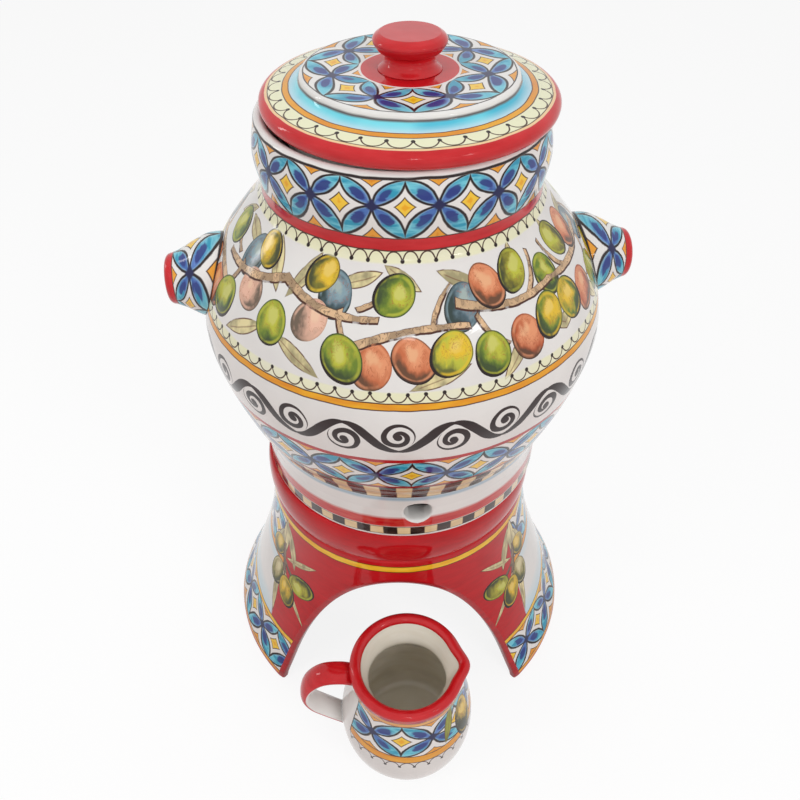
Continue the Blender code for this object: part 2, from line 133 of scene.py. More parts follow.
JUG_THROAT_SHARES = ((0.28, 0.30), (0.62, 0.78))
SPOUT_REACH = 0.0042
SPOUT_DEPTH = 0.030
SPOUT_HALF_ANGLE = radians(30.0)
HANDLE_TURN = radians(4.0)
HANDLE_REACH = 0.0770
HANDLE_ROOT_REACH = 0.0370
HANDLE_TOP_DROP = 0.0085
HANDLE_ROOT_SHARE = 0.298
HANDLE_THICKNESS = 0.0084
HANDLE_WIDTH = 0.0180
HANDLE_SHARES = ((0.0, 0.92), (0.30, 0.99), (0.64, 0.98), (0.90, 0.84), (1.0, 0.64),
                 (0.90, 0.45), (0.66, 0.29), (0.38, 0.13), (0.10, -0.04))

AXIS_Y = (JUG_DISTANCE + JUG_BELLY_RADIUS - STAND_BASE_RADIUS) / 2
JAR_BASE = STAND_HEIGHT + GAP
MOUTH_RADIUS = LIP_RADIUS - JAR_WALL
NECK_LEVEL = JAR_HEIGHT - NECK_DROP
COLLAR_LEVEL = JAR_HEIGHT - COLLAR_DROP
BELLY_LEVEL = FOOT_TOP_LEVEL + (NECK_LEVEL - FOOT_TOP_LEVEL) * BELLY_SHARE
LUG_LEVEL = BELLY_LEVEL + (NECK_LEVEL - BELLY_LEVEL) * LUG_HEIGHT_SHARE
JUG_NECK_LEVEL = JUG_HEIGHT - JUG_NECK_DROP
JUG_BELLY_LEVEL = JUG_NECK_LEVEL * JUG_BELLY_SHARE
LID_LEVEL = JAR_BASE + JAR_HEIGHT + GAP
LID_TOP = LID_STEP_FOOT_LEVEL + LID_STEP_HEIGHT

# Fineness of the meshes
LARGE_COLUMNS = 160
SMALL_COLUMNS = 72
LINE_STEPS = 8
ARC_STEPS = 8
ARCH_ROWS = 40
EDGE_STEPS = 10
CROWN_STEPS = 8
HANDLE_COLUMNS = 32
SMALL_CREASE = radians(50.0)
LARGE_CREASE = radians(60.0)

# Shares of the baking map: rows of plain glaze shrink on it, and the arch's edges lie beside the wall
PLAIN_BAKE_SHARE = 0.3
WALL_BAKE_SHARE = 0.9
EDGE_BAKE_START = 0.92
EDGE_BAKE_SHARE = 0.016

# Paints as they look under plain light, in display values
WHITE = (231, 229, 226)
CREAM = (232, 231, 196)
INK = (38, 24, 24)
BROWN = (70, 38, 28)
RED = (190, 12, 22)
LIGHT_RED = (204, 34, 40)
DARK_RED = (128, 14, 22)
CORAL = (206, 74, 62)
ORANGE = (236, 170, 30)
DEEP_ORANGE = (222, 138, 26)
YELLOW = (243, 200, 62)
PEACH = (238, 200, 150)
AMBER = (232, 160, 50)
TURQUOISE = (112, 200, 218)
PALE_SEA = (176, 218, 224)
SEA = (44, 152, 184)
COBALT = (46, 92, 164)
PERIWINKLE = (104, 138, 204)
NIGHT = (40, 54, 126)
DUSK = (30, 32, 78)
SKY = (186, 218, 230)
# Grey of the painted shadow at the lid's step
STEP_SHADOW_GREY = (96, 92, 92)
TAN = (206, 172, 134)
LEAF = (206, 194, 146)
GREEN = (104, 128, 40)
LIME = (186, 188, 60)
RUST = (182, 88, 50)
SALMON = (226, 150, 108)
SLATE = (74, 94, 104)
MIST = (132, 158, 168)
GOLD = (226, 188, 44)
OLIVE = (122, 116, 38)
CLAY = (196, 108, 68)
DUSTY = (206, 164, 142)
NIGHT_OLIVE = (38, 52, 40)
SHINE = (248, 240, 190)
MOSS = (136, 140, 40)
BISCUIT = (232, 208, 162)
DARK_BISCUIT = (220, 192, 146)
MISTY_BLUE = (134, 172, 196)
AQUA = (122, 218, 232)
LAGOON = (70, 184, 212)
IVORY = (236, 231, 218)
DARK_IVORY = (230, 224, 208)
PURE_WHITE = (255, 255, 255)
FLOOR_SEEN = (252, 252, 252)
FLOOR_BOUNCE = (206, 184, 178)

# Edges of the painted bands in millimetres: heights on jar, stand and jug, and radii on the lid
JAR_FOOT_SQUARES = (3.4, 11.6)
JAR_FOOT_RED = (12.0, 22.0)
JAR_BLUE = (45.0, 48.3)
JAR_SQUARES = (48.3, 69.0)
JAR_DARK_LINE = (69.0, 71.5)
JAR_FLOWERS = (71.5, 104.8)
JAR_RED_LINE = (104.8, 108.4)
JAR_SCROLL = (108.4, 149.2)
JAR_ORANGE_LINE = (149.2, 154.1)
JAR_GARLAND = (154.1, 223.2)
JAR_SCALLOPS = (154.7, 159.3)
NECK_SCALLOPS = (223.2, 218.2)
NECK_RED_LINE = (223.2, 231.6)
COLLAR_FLOWERS = (231.6, 263.6)
LIP_LINE = (263.6, 265.0)
LID_RED_MIDDLE = 27.2
LID_FLOWERS = (28.5, 58.2)
LID_DISC_LINE = (58.2, 58.9)
LID_DISC_EDGE = 61.15
LID_ORANGE_LINE = (67.0, 71.1)
LID_CREAM = (71.1, 80.6)
LID_SCALLOPS = (78.3, 73.1)
LID_THIN_LINE = (78.6, 79.2)
LID_PEACH = (79.2, 80.6)
STAND_EDGE_RED = 5.4
STAND_EDGE_ORANGE = 7.4
STAND_BASE_FLOWERS = (8.0, 39.4)
STAND_LOW_LINE = (39.4, 44.4)
STAND_WASH = (44.4, 60.0)
STAND_MIDDLE_LINE = (102.0, 109.0)
STAND_FLOWERS = (109.0, 154.4)
STAND_NECK_LINE = (154.4, 161.0)
JUG_SCALLOPS = (57.6, 52.0)
JUG_LOW_LINE = (57.6, 65.4)
JUG_FLOWERS = (65.4, 97.6)
JUG_HIGH_LINE = (97.6, 104.6)

# Soft edges, brown outlines, the runs of the washes and of the painted shadow at the lid's step, in
# millimetres
FINE = 0.15
SOFT = 0.2
LID_OUTLINE = 0.6
OUTLINE = 0.7
BROAD_OUTLINE = 0.8
WIDEST_OUTLINE = 1.0
LID_WASH_START = 1.2
LID_WASH_HOLD = 2.0
LID_STEP_SHADOW = (-0.9, 0.5)
STAND_WASH_LAG = (4.0, 2.0)
STAND_WASH_LEAD = (12.0, 4.0)

# The red front, the sprigs and the jug's olive: degrees round the piece, and millimetres
STAND_FRONT_ANGLE = 57.5
SPRIG_ANGLE = 57.0
SPRIG_LEVEL = 108.0
SPRIG_RADIUS = 112.0
JUG_OLIVE_ANGLE = 62.0
JUG_OLIVE_RADIUS = 48.0
JUG_OLIVE_RISE = 10.0
JUG_BARE_ANGLE = 31.0
JUG_BARE_LINE = (30.2, 31.4)

# The lug's red end and its flowers, in millimetres from the middle of its end
LUG_RED_END = 20.4
LUG_FLOWERS_START = 21.0
LUG_FLOWERS_LENGTH = 25.4
LUG_FLOWERS_GROWTH = 10.0

# The garland's stretches, and the curls and waves of the scroll, in millimetres
GARLAND_STRETCHES = 4.0
GARLAND_WIDTH = 180.0
CURL_SPACING = 6.6
CURL_DROP = 2.6
CURL_RADIUS = 10.0
WAVE_HEIGHT = 10.5

# Repeats round the piece: flowers with their shift and lean, and scallops with their pitch
JAR_FLOWER_REPEAT = (18, 0.16)
COLLAR_FLOWER_REPEAT = (16, 0.22, 0.09)
LID_FLOWER_REPEAT = (7, 0.5833)
STAND_FLOWER_REPEAT = (15, 0.33)
STAND_BASE_FLOWER_REPEAT = (19, 0.193)
JUG_FLOWER_REPEAT = (6, 0.0875)
LUG_FLOWER_COUNT = 3
LUG_FLOWER_LEAN = -0.10
JAR_SCALLOP_REPEAT = (78, 10.5)
NECK_SCALLOP_REPEAT = (60, 9.6)
LID_SCALLOP_REPEAT = (35, 13.2)
JUG_SCALLOP_REPEAT = (29, 10.8)
SQUARE_COUNT = 34
SCROLL_COUNT = 13

# Fineness of the noises and the gloss of the glaze
STREAK_NOISE = 55.0
CLOUD_NOISE = 26.0
WOBBLE_NOISE = 70.0
GLAZE_NOISE = 60.0
BRUSH_NOISE = 150.0
GLAZE_IOR = 1.5
GLAZE_ROUGHNESS = 0.09
GLAZE_UNEVENNESS = 0.12
GLOSS = 0.38
JAR_GLOSS = 0.32
STAND_GLOSS = 0.22

# Light and camera
WORLD_LIGHT = 0.46
FLOOR_GLOW = 0.87
FLOOR_SIZE = 8.0
FLOOR_DROP = 0.0005
LAMP_TARGET = (0.0, 0.0, 0.28)
LAMPS = (("key", (-0.95, -0.60, 1.05), (0.5, 0.5), 4.0, False),
         ("fill", (0.75, -1.00, 1.00), (0.5, 0.6), 7.0, False),
         ("overhead", (0.0, 0.3, 1.8), (1.2, 1.2), 5.0, False),
         ("window_front", (0.12, -1.9, 1.5), (0.26, 0.10), 1.2, True),
         ("window_right", (1.25, -1.3, 1.25), (0.22, 0.12), 1.2, True),
         ("window_left", (-1.5, 0.45, 0.95), (0.14, 0.60), 1.6, True))
CAMERA_PLACE = (0.0028, -0.40584, 0.64362)
CAMERA_TILT = radians(46.56)
CAMERA_SENSOR = 36.0
CAMERA_LENS = 34.727
CAMERA_SHIFT = -0.002625


def between(low, high, share):
    """The value at a share of the way from low to high."""
    return low + (high - low) * share


def stations(start, end, shares):
    """Points between two (radius, height) points, each at its share of the height and of the radius."""
    return [(between(start[0], end[0], across), between(start[1], end[1], along))
            for along, across in shares]


def smooth_line(points, steps=LINE_STEPS):
    """Points along a curve that passes smoothly through the given points."""
    line = []
    last = len(points) - 1
    for index in range(last):
        before = points[max(index - 1, 0)]
        start = points[index]
        end = points[index + 1]
        after = points[min(index + 2, last)]
        for step in range(steps):
            share = step / steps
            line.append(tuple(
                0.5 * (2 * b + (c - a) * share + (2 * a - 5 * b + 4 * c - d) * share ** 2
                       + (3 * b - a - 3 * c + d) * share ** 3)
                for a, b, c, d in zip(before, start, end, after)))
    line.append(points[-1])
    return line


def offset_line(points, distance):
    """The line moved sideways: to the right of its direction for a positive distance."""
    moved = []
    last = len(points) - 1
    for index, (radius, height) in enumerate(points):
        before = points[max(index - 1, 0)]
        after = points[min(index + 1, last)]
        run = after[0] - before[0]
        rise = after[1] - before[1]
        length = hypot(run, rise)
        moved.append((radius + distance * rise / length, height - distance * run / length))
    return moved


def arc(centre, across, up, start, end, steps=ARC_STEPS):
    """Points on an ellipse's arc, with angles in degrees counted from the outside upwards."""
    angles = [radians(between(start, end, step / steps)) for step in range(steps + 1)]
    return [(centre[0] + across * cos(angle), centre[1] + up * sin(angle)) for angle in angles]


def lengths(points):
    """The distance along the line of each of its points."""
    found = [0.0]
    for start, end in zip(points, points[1:]):
        found.append(found[-1] + hypot(end[0] - start[0], end[1] - start[1]))
    return found


def along(points, level):
    """The distance in millimetres along a rising line at which it reaches a level in millimetres."""
    found = lengths(points)
    for index in range(len(points) - 1):
        low = points[index][1] * MM
        high = points[index + 1][1] * MM
        if low <= level <= high and high > low:
            share = (level - low) / (high - low)
            return between(found[index], found[index + 1], share) * MM
    return found[-1] * MM


def out_along(points, radius):
    """The distance in millimetres along a line that runs outwards, at a radius in millimetres."""
    found = lengths(points)
    for index in range(len(points) - 1):
        low = points[index][0] * MM
        high = points[index + 1][0] * MM
        if low <= radius <= high and high > low:
            share = (radius - low) / (high - low)
            return between(found[index], found[index + 1], share) * MM
    return found[-1] * MM


class Wire:
    """The output of a shader node, with which sums and products can be written."""

    def __init__(self, tree, socket):
        self.tree = tree
        self.socket = socket

    def math(self, operation, *others):
        """A math node fed by this output and by others."""
        return wire(self.tree, "ShaderNodeMath", (self, *others), operation=operation)

    def __add__(self, other):
        return self.math("ADD", other)

    def __sub__(self, other):
        return self.math("SUBTRACT", other)

    def __mul__(self, other):
        return self.math("MULTIPLY", other)

    def __truediv__(self, other):
        return self.math("DIVIDE", other)

    def __abs__(self):
        return self.math("ABSOLUTE")

    def power(self, exponent):
        """This value to a power."""
        return self.math("POWER", exponent)

    def fraction(self):
        """What is left of this value above the whole number below it."""
        return self.math("FRACT")

    def least(self, other):
        """The smaller of two values."""
        return self.math("MINIMUM", other)

    def most(self, other):
        """The larger of two values."""
        return self.math("MAXIMUM", other)

    def slide(self, start, end, low=0.0, high=1.0):
        """Runs from low to high as this value goes from start to end, and holds still beyond."""
        return wire(self.tree, "ShaderNodeMapRange", (self, start, end, low, high))

    def below(self, edge, soft=0.0):
        """1 below an edge and 0 above it, with a soft step."""
        if not soft:
            return self.math("LESS_THAN", edge)
        return self.slide(edge - soft, edge + soft, 1.0, 0.0)

    def above(self, edge, soft=0.0):
        """1 above an edge and 0 below it, with a soft step."""
        if not soft:
            return self.math("GREATER_THAN", edge)
        return self.slide(edge - soft, edge + soft)

    def inside(self, low, high, soft=0.0):
        """1 between two edges and 0 beyond them."""
        return abs(self - (low + high) / 2).below((high - low) / 2, soft)


def feed(tree, socket, value):
    """Links a wire to an input socket, or writes a plain value or colour there."""
    if isinstance(value, Wire):
        tree.links.new(value.socket, socket)
    elif isinstance(value, tuple) and socket.type == "RGBA":
        socket.default_value = linear(value)
    else:
        socket.default_value = value


def wire(tree, kind, inputs=(), output=0, **settings):
    """A new shader node with its settings and inputs, as the wire of one of its outputs."""
    node = tree.nodes.new(kind)
    for key, value in settings.items():
        setattr(node, key, value)
    named = inputs.items() if isinstance(inputs, dict) else enumerate(inputs)
    for key, value in named:
        feed(tree, node.inputs[key], value)
    return Wire(tree, node.outputs[output])


def linear(colour):
    """A colour in display values from 0 to 255 as a shader's linear colour."""
    shares = [value / 255 for value in colour]
    return (*[((share + 0.055) / 1.055) ** 2.4 if share > 0.04045 else share / 12.92
              for share in shares], 1.0)


def mix(tree, mask, first, second):
    """The first colour where the mask is 0 and the second where it is 1."""
    return wire(tree, "ShaderNodeMix", {0: mask, 6: first, 7: second}, 2, data_type="RGBA")


def swap(tree, mask, first, second):
    """The first vector where the mask is 0 and the second where it is 1."""
    return wire(tree, "ShaderNodeMix", {0: mask, 4: first, 5: second}, 1, data_type="VECTOR")


def point(tree, x, y):
    """Two values joined to a flat point."""
    return wire(tree, "ShaderNodeCombineXYZ", (x, y, 0.0))


def parts(vector):
    """The x and y of a vector."""
    x = wire(vector.tree, "ShaderNodeSeparateXYZ", (vector,))
    return x, Wire(vector.tree, x.socket.node.outputs[1])


def reach(vector, target=None):
    """A vector's length, or its distance from a target."""
    if target is None:
        return wire(vector.tree, "ShaderNodeVectorMath", (vector,), 1, operation="LENGTH")
    return wire(vector.tree, "ShaderNodeVectorMath", (vector, target), 1, operation="DISTANCE")


def noise(tree, place, scale, stretch=(1.0, 1.0, 1.0), detail=2.0, colour=False):
    """Noise over a place in metres, finer with a larger scale and drawn out by a small stretch."""
    scaled = wire(tree, "ShaderNodeVectorMath", (place, stretch), operation="MULTIPLY")
    return wire(tree, "ShaderNodeTexNoise", {"Vector": scaled, "Scale": scale, "Detail": detail},
                1 if colour else 0)


def local(tree, place, centre, half_sizes, angle):
    """A place as seen by an ellipse: its outline is the circle of radius 1."""
    return wire(tree, "ShaderNodeMapping",
                {"Vector": place, "Location": (*centre, 0.0), "Rotation": (0.0, 0.0, radians(angle)),
                 "Scale": (*half_sizes, 1.0)}, vector_type="TEXTURE")


class Glaze:
    """A glazed material in the making: its place on the piece, its paint so far and its brush marks."""

    def __init__(self, name, ground=WHITE):
        self.material = bpy.data.materials.new(name)
        self.material.use_nodes = True
        self.tree = self.material.node_tree
        self.shader = self.tree.nodes["Principled BSDF"]
        self.place = wire(self.tree, "ShaderNodeTexCoord", output=3)
        streaks = noise(self.tree, self.place, STREAK_NOISE, (1.0, 1.0, 5.0), 3.0)
        self.streak = streaks.slide(0.32, 0.68)
        self.cloud = noise(self.tree, self.place, CLOUD_NOISE)
        self.colour = mix(self.tree, self.cloud.slide(0.3, 0.7), shade(ground, 0.965), ground)

    def paint(self, mask, colour, other=None):
        """Lays a paint where the mask is 1, streaked with another if one is given."""
        if other:
            colour = mix(self.tree, self.streak, colour, other)
        self.colour = mix(self.tree, mask, self.colour, colour)

    def surface(self, measure, wobble=0.55):
        """The turn and the distance on the piece's paint map, shaken a little like a hand's line.

        The measure turns a height or a radius in millimetres into a distance on that map.
        """
        turn, distance = parts(wire(self.tree, "ShaderNodeUVMap", uv_map="Paint"))
        sideways, up = parts(noise(self.tree, self.place, WOBBLE_NOISE, detail=1.0, colour=True))
        self.turn = turn + (sideways - 0.5) * (wobble / 300.0)
        self.distance = distance + (up - 0.5) * (wobble * 2)
        self.measure = measure
        return self.turn, self.distance

    def edges(self, band):
        """A band's two edges as distances on the paint map."""
        return [self.measure(edge) for edge in band]

    def share(self, band):
        """A wire that runs from 0 to 1 between a band's edges."""
        low, high = self.edges(band)
        return (self.distance - low) / (high - low)

    def stripe(self, band, colour, other=None, soft=FINE):
        """Paints a band right round the piece."""
        low, high = self.edges(band)
        self.paint(self.distance.inside(low, high, soft), colour, other)

    def line(self, band, outline, colour, other, soft=FINE):
        """Paints a band that has a brown outline along both edges."""
        self.stripe(band, BROWN, None, soft)
        self.stripe((band[0] + outline, band[1] - outline), colour, other, soft)

    def finish(self, gloss=GLOSS):
        """Gives the shader its paint, a glossy glaze and a slightly uneven surface."""
        unevenness = noise(self.tree, self.place, GLAZE_NOISE)
        height = unevenness + self.streak * 0.12
        normal = wire(self.tree, "ShaderNodeBump",
                      {"Strength": GLAZE_UNEVENNESS, "Distance": 0.0015, "Height": height})
        feed(self.tree, self.shader.inputs["Base Color"], self.colour)
        feed(self.tree, self.shader.inputs["Normal"], normal)
        self.shader.inputs["Roughness"].default_value = GLAZE_ROUGHNESS
        self.shader.inputs["IOR"].default_value = GLAZE_IOR
        self.shader.inputs["Specular IOR Level"].default_value = gloss
        return self.material


def shade(colour, factor):
    """A colour made darker or lighter."""
    return tuple(min(255, value * factor) for value in colour)


def flower_group():
    """The shader group of one flower cell: four petals to its corners, with diamonds at its edges.

    X and Y run from -0.5 to 0.5 over the cell. Mottle, from 0 to 1, makes the paint uneven.
    """
    tree = bpy.data.node_groups.new("flower_cell", "ShaderNodeTree")
    for name, kind in (("X", "Float"), ("Y", "Float"), ("Mottle", "Float"), ("Ground", "Color")):
        tree.interface.new_socket(name, in_out="INPUT", socket_type="NodeSocket" + kind)
    tree.interface.new_socket("Colour", in_out="OUTPUT", socket_type="NodeSocketColor")
    given = tree.nodes.new("NodeGroupInput")
    x, y, mottle, ground = (Wire(tree, given.outputs[index]) for index in range(4))
    across = abs(x)
    up = abs(y)
    uneven = mottle - 0.5
    # How far out a petal, from the cell's middle to its corner, and how far beside its middle line
    out = across + up
    beside = abs(across - up)
    width = (out * out.math("MULTIPLY_ADD", -1.0, 1.03).most(0.0)) * 0.74
    inner = width - beside + uneven * 0.012
    tip = mix(tree, mottle.slide(0.35, 0.75), TURQUOISE, SEA)
    root = mix(tree, mottle, COBALT, PERIWINKLE)
    root = mix(tree, y.below(0.0) * 0.55, root, COBALT)
    wash = mix(tree, (out + uneven * 0.34).slide(0.36, 0.66), root, tip)
    wash = mix(tree, (inner + uneven * 0.03).below(0.05, 0.02) * 0.5, wash, PALE_SEA)
    heart = reach(point(tree, (out - 0.43) * 4.9, (across - up + uneven * 0.05) * 10.0))
    wash = mix(tree, (heart + uneven * 0.5).below(1.0, 0.13) * 0.92, wash, NIGHT)
    colour = mix(tree, inner.above(0.0, 0.006), ground, wash)
    colour = mix(tree, abs(inner).below(0.031, 0.010) * out.below(1.02, 0.01), colour, INK)
    colour = mix(tree, (out + uneven * 0.04).below(0.12, 0.025), colour, DUSK)
    # A yellow diamond between neighbours, and half an orange one at the top and the bottom
    side = (across.math("MULTIPLY_ADD", -1.0, 0.5) / 0.150).power(0.86) + (up / 0.165).power(0.86)
    edge = (across / 0.15).power(0.86) + (up.math("MULTIPLY_ADD", -1.0, 0.5) / 0.13).power(0.86)
    for diamond, fill, core in ((side, YELLOW, ORANGE), (edge, AMBER, DEEP_ORANGE)):
        filling = mix(tree, (diamond + uneven * 0.6).below(0.42, 0.14), fill, core)
        colour = mix(tree, diamond.below(1.15, 0.05), colour, BROWN)
        colour = mix(tree, diamond.below(0.98, 0.04), colour, filling)
    result = tree.nodes.new("NodeGroupOutput")
    tree.links.new(colour.socket, result.inputs[0])
    return tree


FLOWER = flower_group()


def flowers(glaze, share, count, shift=0.0, lean=0.0):
    """A row of flowers round the piece while a share runs from 0 to 1, their middles moved by a lean."""
    x = (glaze.turn * count + shift).fraction() - 0.5
    y = share - 0.5
    y = y + (y * y * 4.0 - 1.0) * lean
    cell = glaze.tree.nodes.new("ShaderNodeGroup")
    cell.node_tree = FLOWER
    for socket, value in zip(cell.inputs, (x, y, glaze.streak, WHITE)):
        feed(glaze.tree, socket, value)
    glaze.paint(share.inside(0.0, 1.0), Wire(glaze.tree, cell.outputs[0]))


def scallops(glaze, band, count, pitch, washed=True):
    """A row of arcs that spring from dots at the band's end and crest at its start, on a cream wash."""
    base, tips = glaze.edges(band)
    depth = abs(tips - base)
    x = abs((glaze.turn * count).fraction() - 0.5)
    y = glaze.share(band)
    bend = x * x * 2.2 + x.power(4.0) * 7.2
    slope = (((x * 4.4 + x.power(3.0) * 28.8) * (depth / pitch)).power(2.0) + 1.0).power(0.5)
    line = abs(y - bend) * depth / slope
    dot = reach(point(glaze.tree, (x - 0.5) * pitch, (y - 0.97) * depth))
    if washed:
        glaze.paint(y.inside(-0.3, 1.2, 0.12) * glaze.cloud.slide(0.25, 0.5, 0.55, 1.0), CREAM)
    glaze.paint(line.below(0.40, 0.12) * y.inside(-0.1, 1.0), BROWN)
    glaze.paint(dot.below(1.2, 0.15), INK)


def checker(glaze, band, count):
    """Dark and pale squares in turn."""
    low, high = glaze.edges(band)
    square = (glaze.turn * count).fraction().inside(0.26, 0.74, 0.02)
    inset = glaze.distance.inside(low + 0.5, high - 0.5, 0.25)
    glaze.paint(glaze.distance.inside(low, high, FINE), INK, shade(BROWN, 0.9))
    glaze.paint(square * inset, BISCUIT, DARK_BISCUIT)


class Bunch:
    """Olives, leaves and twigs painted on one flat stretch, in millimetres about its middle."""

    def __init__(self, glaze, x, y):
        self.glaze = glaze
        self.tree = glaze.tree
        self.place = point(glaze.tree, x, y)
        self.brush = noise(glaze.tree, glaze.place, BRUSH_NOISE, (1.0, 1.0, 0.40), 3.0)

    def twigs(self, strokes, colour=TAN):
        """Bent strokes of (middle x, middle y, half length, angle, bend, half width)."""
        fill = None
        rim = None
        for x, y, half, angle, bend, width in strokes:
            place = local(self.tree, self.place, (x, y), (half, half), angle)
            share, height = parts(place)
            off = (height - (share * share) * bend) * half
            rough = (self.brush - 0.5) * 1.6 + (share * (-0.25 * width)) + width
            reached = abs(share).below(1.0)
            body = (abs(off) - rough).below(0.0, 0.1) * reached
            around = (abs(off + 0.45) - rough).below(0.75, 0.15) * abs(share).below(1.0 + 0.6 / half)
            fill = body if fill is None else fill.most(body)
            rim = around if rim is None else rim.most(around)
        self.glaze.paint(rim * self.brush.slide(0.36, 0.44, 0.45, 1.0), shade(BROWN, 1.05))
        tint = mix(self.tree, self.brush.slide(0.40, 0.60), shade(colour, 0.80), shade(colour, 1.06))
        tint = mix(self.tree, (self.brush * 9.0).fraction().below(0.16, 0.04) * 0.6, tint, BROWN)
        self.glaze.paint(fill, tint)

    def leaves(self, shapes, colour=LEAF):
        """Lens-shaped leaves of (middle x, middle y, half length, half width, angle)."""
        gap = None
        rib = None
        for x, y, half, width, angle in shapes:
            place = local(self.tree, self.place, (x, y), (half, width), angle)
            share, height = parts(place)
            room = (abs(height) + share * share) - 1.0
            gap = room if gap is None else gap.least(room)
            middle = abs(height + 0.1).most(abs(share) - 0.62)
            rib = middle if rib is None else rib.least(middle)
        tint = mix(self.tree, self.brush.slide(0.36, 0.64), shade(colour, 0.78), shade(colour, 1.12))
        self.glaze.paint(gap.below(0.0, 0.05), tint)
        self.glaze.paint(gap.inside(-0.10, 0.06, 0.05) * self.brush.slide(0.35, 0.50), shade(BROWN, 1.3))
        self.glaze.paint(rib.below(0.08, 0.05) * gap.below(0.0) * 0.6, shade(BROWN, 1.6))

    def olives(self, shapes):
        """Olives of (middle x, middle y, half length, half width, angle, paint, light paint, outline)."""
        inner = (9.0, 9.0, 0.0)
        colour = GREEN
        light = LIME
        drawn = 0.0
        for x, y, half, width, angle, paint, pale, line in shapes:
            place = local(self.tree, self.place, (x, y), (half, width), angle)
            mask = reach(place).below(1.0)
            inner = swap(self.tree, mask, inner, place)
            colour = mix(self.tree, mask, colour, paint)
            light = mix(self.tree, mask, light, pale)
            drawn = mask * line + (mask.math("MULTIPLY_ADD", -1.0, 1.0)) * drawn
        distance = reach(inner)
        strokes = (self.brush - 0.5) * 2.0
        lit = reach(inner, (0.24, -0.20, 0.0)) + strokes * 0.75
        body = mix(self.tree, lit.slide(0.34, 0.78), light, colour)
        shadow = reach(inner, (0.46, -0.44, 0.0)) + strokes * 0.60
        body = mix(self.tree, shadow.slide(0.98, 1.26) * 0.78, body, NIGHT_OLIVE)
        ring = (distance + strokes * 0.05).inside(0.80, 0.93, 0.04)
        body = mix(self.tree, ring * self.brush.slide(0.38, 0.55) * 0.75, body, light)
        core = reach(inner, (0.34, -0.06, 0.0)) + strokes * 0.45
        body = mix(self.tree, core.below(0.30, 0.08) * 0.60, body, mix(self.tree, 0.30, light, SHINE))
        dashes = (self.brush * 14.0).fraction().below(0.20, 0.05) * lit.inside(0.35, 0.62, 0.05)
        body = mix(self.tree, dashes * 0.45, body, shade(RUST, 0.9))
        self.glaze.paint(distance.below(1.0), body)
        left = reach(inner, (0.09, -0.09, 0.0)) + strokes * 0.04
        self.glaze.paint(distance.inside(0.945, 1.0, 0.015) * drawn * 0.75, shade(NIGHT_OLIVE, 0.8))
        self.glaze.paint(distance.below(1.0) * left.above(0.975, 0.03) * drawn, shade(INK, 0.85))


def garland(glaze, band):
    """Olive branches round the shoulder: four like stretches, each the mirror of the last."""
    cell = glaze.turn * GARLAND_STRETCHES + 0.5
    flip = ((cell * 0.5).fraction().below(0.5) - 0.5) * 2.0
    x = ((cell.fraction() - 0.5) * flip) * GARLAND_WIDTH
    bunch = Bunch(glaze, x, glaze.distance - sum(glaze.edges(band)) / 2)
    bunch.leaves(((-78, 20, 17, 4.6, 62), (-70, -24, 17, 4.4, -30), (-40, 25, 16, 4.2, 18),
                  (8, -28, 17, 4.2, 20), (27, 23, 17, 4.6, -24), (52, -24, 16, 4.2, 52),
                  (66, 22, 15, 4.2, 74), (-12, 27, 14, 3.8, 150), (86, -20, 16, 4.4, -36)))
    bunch.olives(((-54, 15, 14, 11, 100, SLATE, MIST, 0.5), (-28, -21, 14, 11, 82, CLAY, SALMON, 0.2),
                  (24, 9, 14, 11, 66, SLATE, MIST, 0.5), (60, -18, 14, 10.5, 104, RUST, SALMON, 0.4),
                  (-66, -2, 13, 10.5, 60, DUSTY, shade(DUSTY, 1.12), 0.1),
                  (90, 8, 13, 10.5, 90, GREEN, LIME, 0.8)))
    bunch.twigs(((-60, 6, 34, -10, 0.14, 2.0), (-8, -1, 34, 9, -0.16, 1.8), (56, 4, 36, -5, 0.14, 2.0),
                 (-45, -6, 14, -62, 0.25, 1.2), (10, 13, 13, 58, -0.2, 1.1), (38, -8, 13, -50, 0.2, 1.1),
                 (78, 14, 13, 60, 0.2, 1.1), (-28, 15, 12, 40, 0.2, 1.1)))
    bunch.olives(((-90, -12, 13.5, 10.5, 90, GREEN, LIME, 1.0), (-66, 24, 13, 10, 40, OLIVE, GOLD, 1.0),
                  (-44, -19, 14.5, 11.5, 112, GREEN, LIME, 1.0), (-17, 18, 14, 11.5, 24, GREEN, LIME, 1.0),
                  (-6, -17, 14, 11, 118, CLAY, SALMON, 0.9), (14, -15, 13.5, 11.5, 60, LIME, GOLD, 1.0),
                  (43, 17, 14, 11, 118, CLAY, SALMON, 0.9), (37, -20, 13.5, 10.5, 96, GREEN, LIME, 1.0),
                  (64, 20, 13.5, 10.5, 52, OLIVE, LIME, 1.0), (79, -13, 14, 11, 75, GREEN, GOLD, 1.0)))


def scroll(glaze, band, count):
    """A bold running scroll: a waving stem with a curl in every bend."""
    tree = glaze.tree
    pitch = 2 * pi * BELLY_RADIUS * MM / count
    x = (glaze.turn * count).fraction() - 0.5
    y = glaze.distance - sum(glaze.edges(band)) / 2
    wave = (x * (2 * pi)).math("SINE")
    slope = (x * (2 * pi)).math("COSINE")
    stem = abs(y - wave * WAVE_HEIGHT) / ((slope * slope) * 1.1 + 1.0).power(0.5)
    weight = abs(slope) * 2.3 + 1.0
    glaze.paint((stem - weight).below(0.0, 0.12), INK, shade(INK, 1.3))
    for side in (-1, 1):
        curl_x = (x - side * 0.25) * pitch
        curl_y = y + side * CURL_DROP
        away = reach(point(tree, curl_x, curl_y))
        angle = curl_y.math("ARCTAN2", curl_x * side)
        rings = (away / CURL_SPACING + angle * (side / (2 * pi)) + 0.25).fraction()
        winding = abs(rings - 0.5) * CURL_SPACING
        curl = (winding - (away * 0.16 + 0.8)).below(0.0, 0.12) * away.below(CURL_RADIUS, 0.1)
        bud = away.below(CURL_DROP, 0.12)
        glaze.paint(curl.most(bud), INK, shade(INK, 1.3))


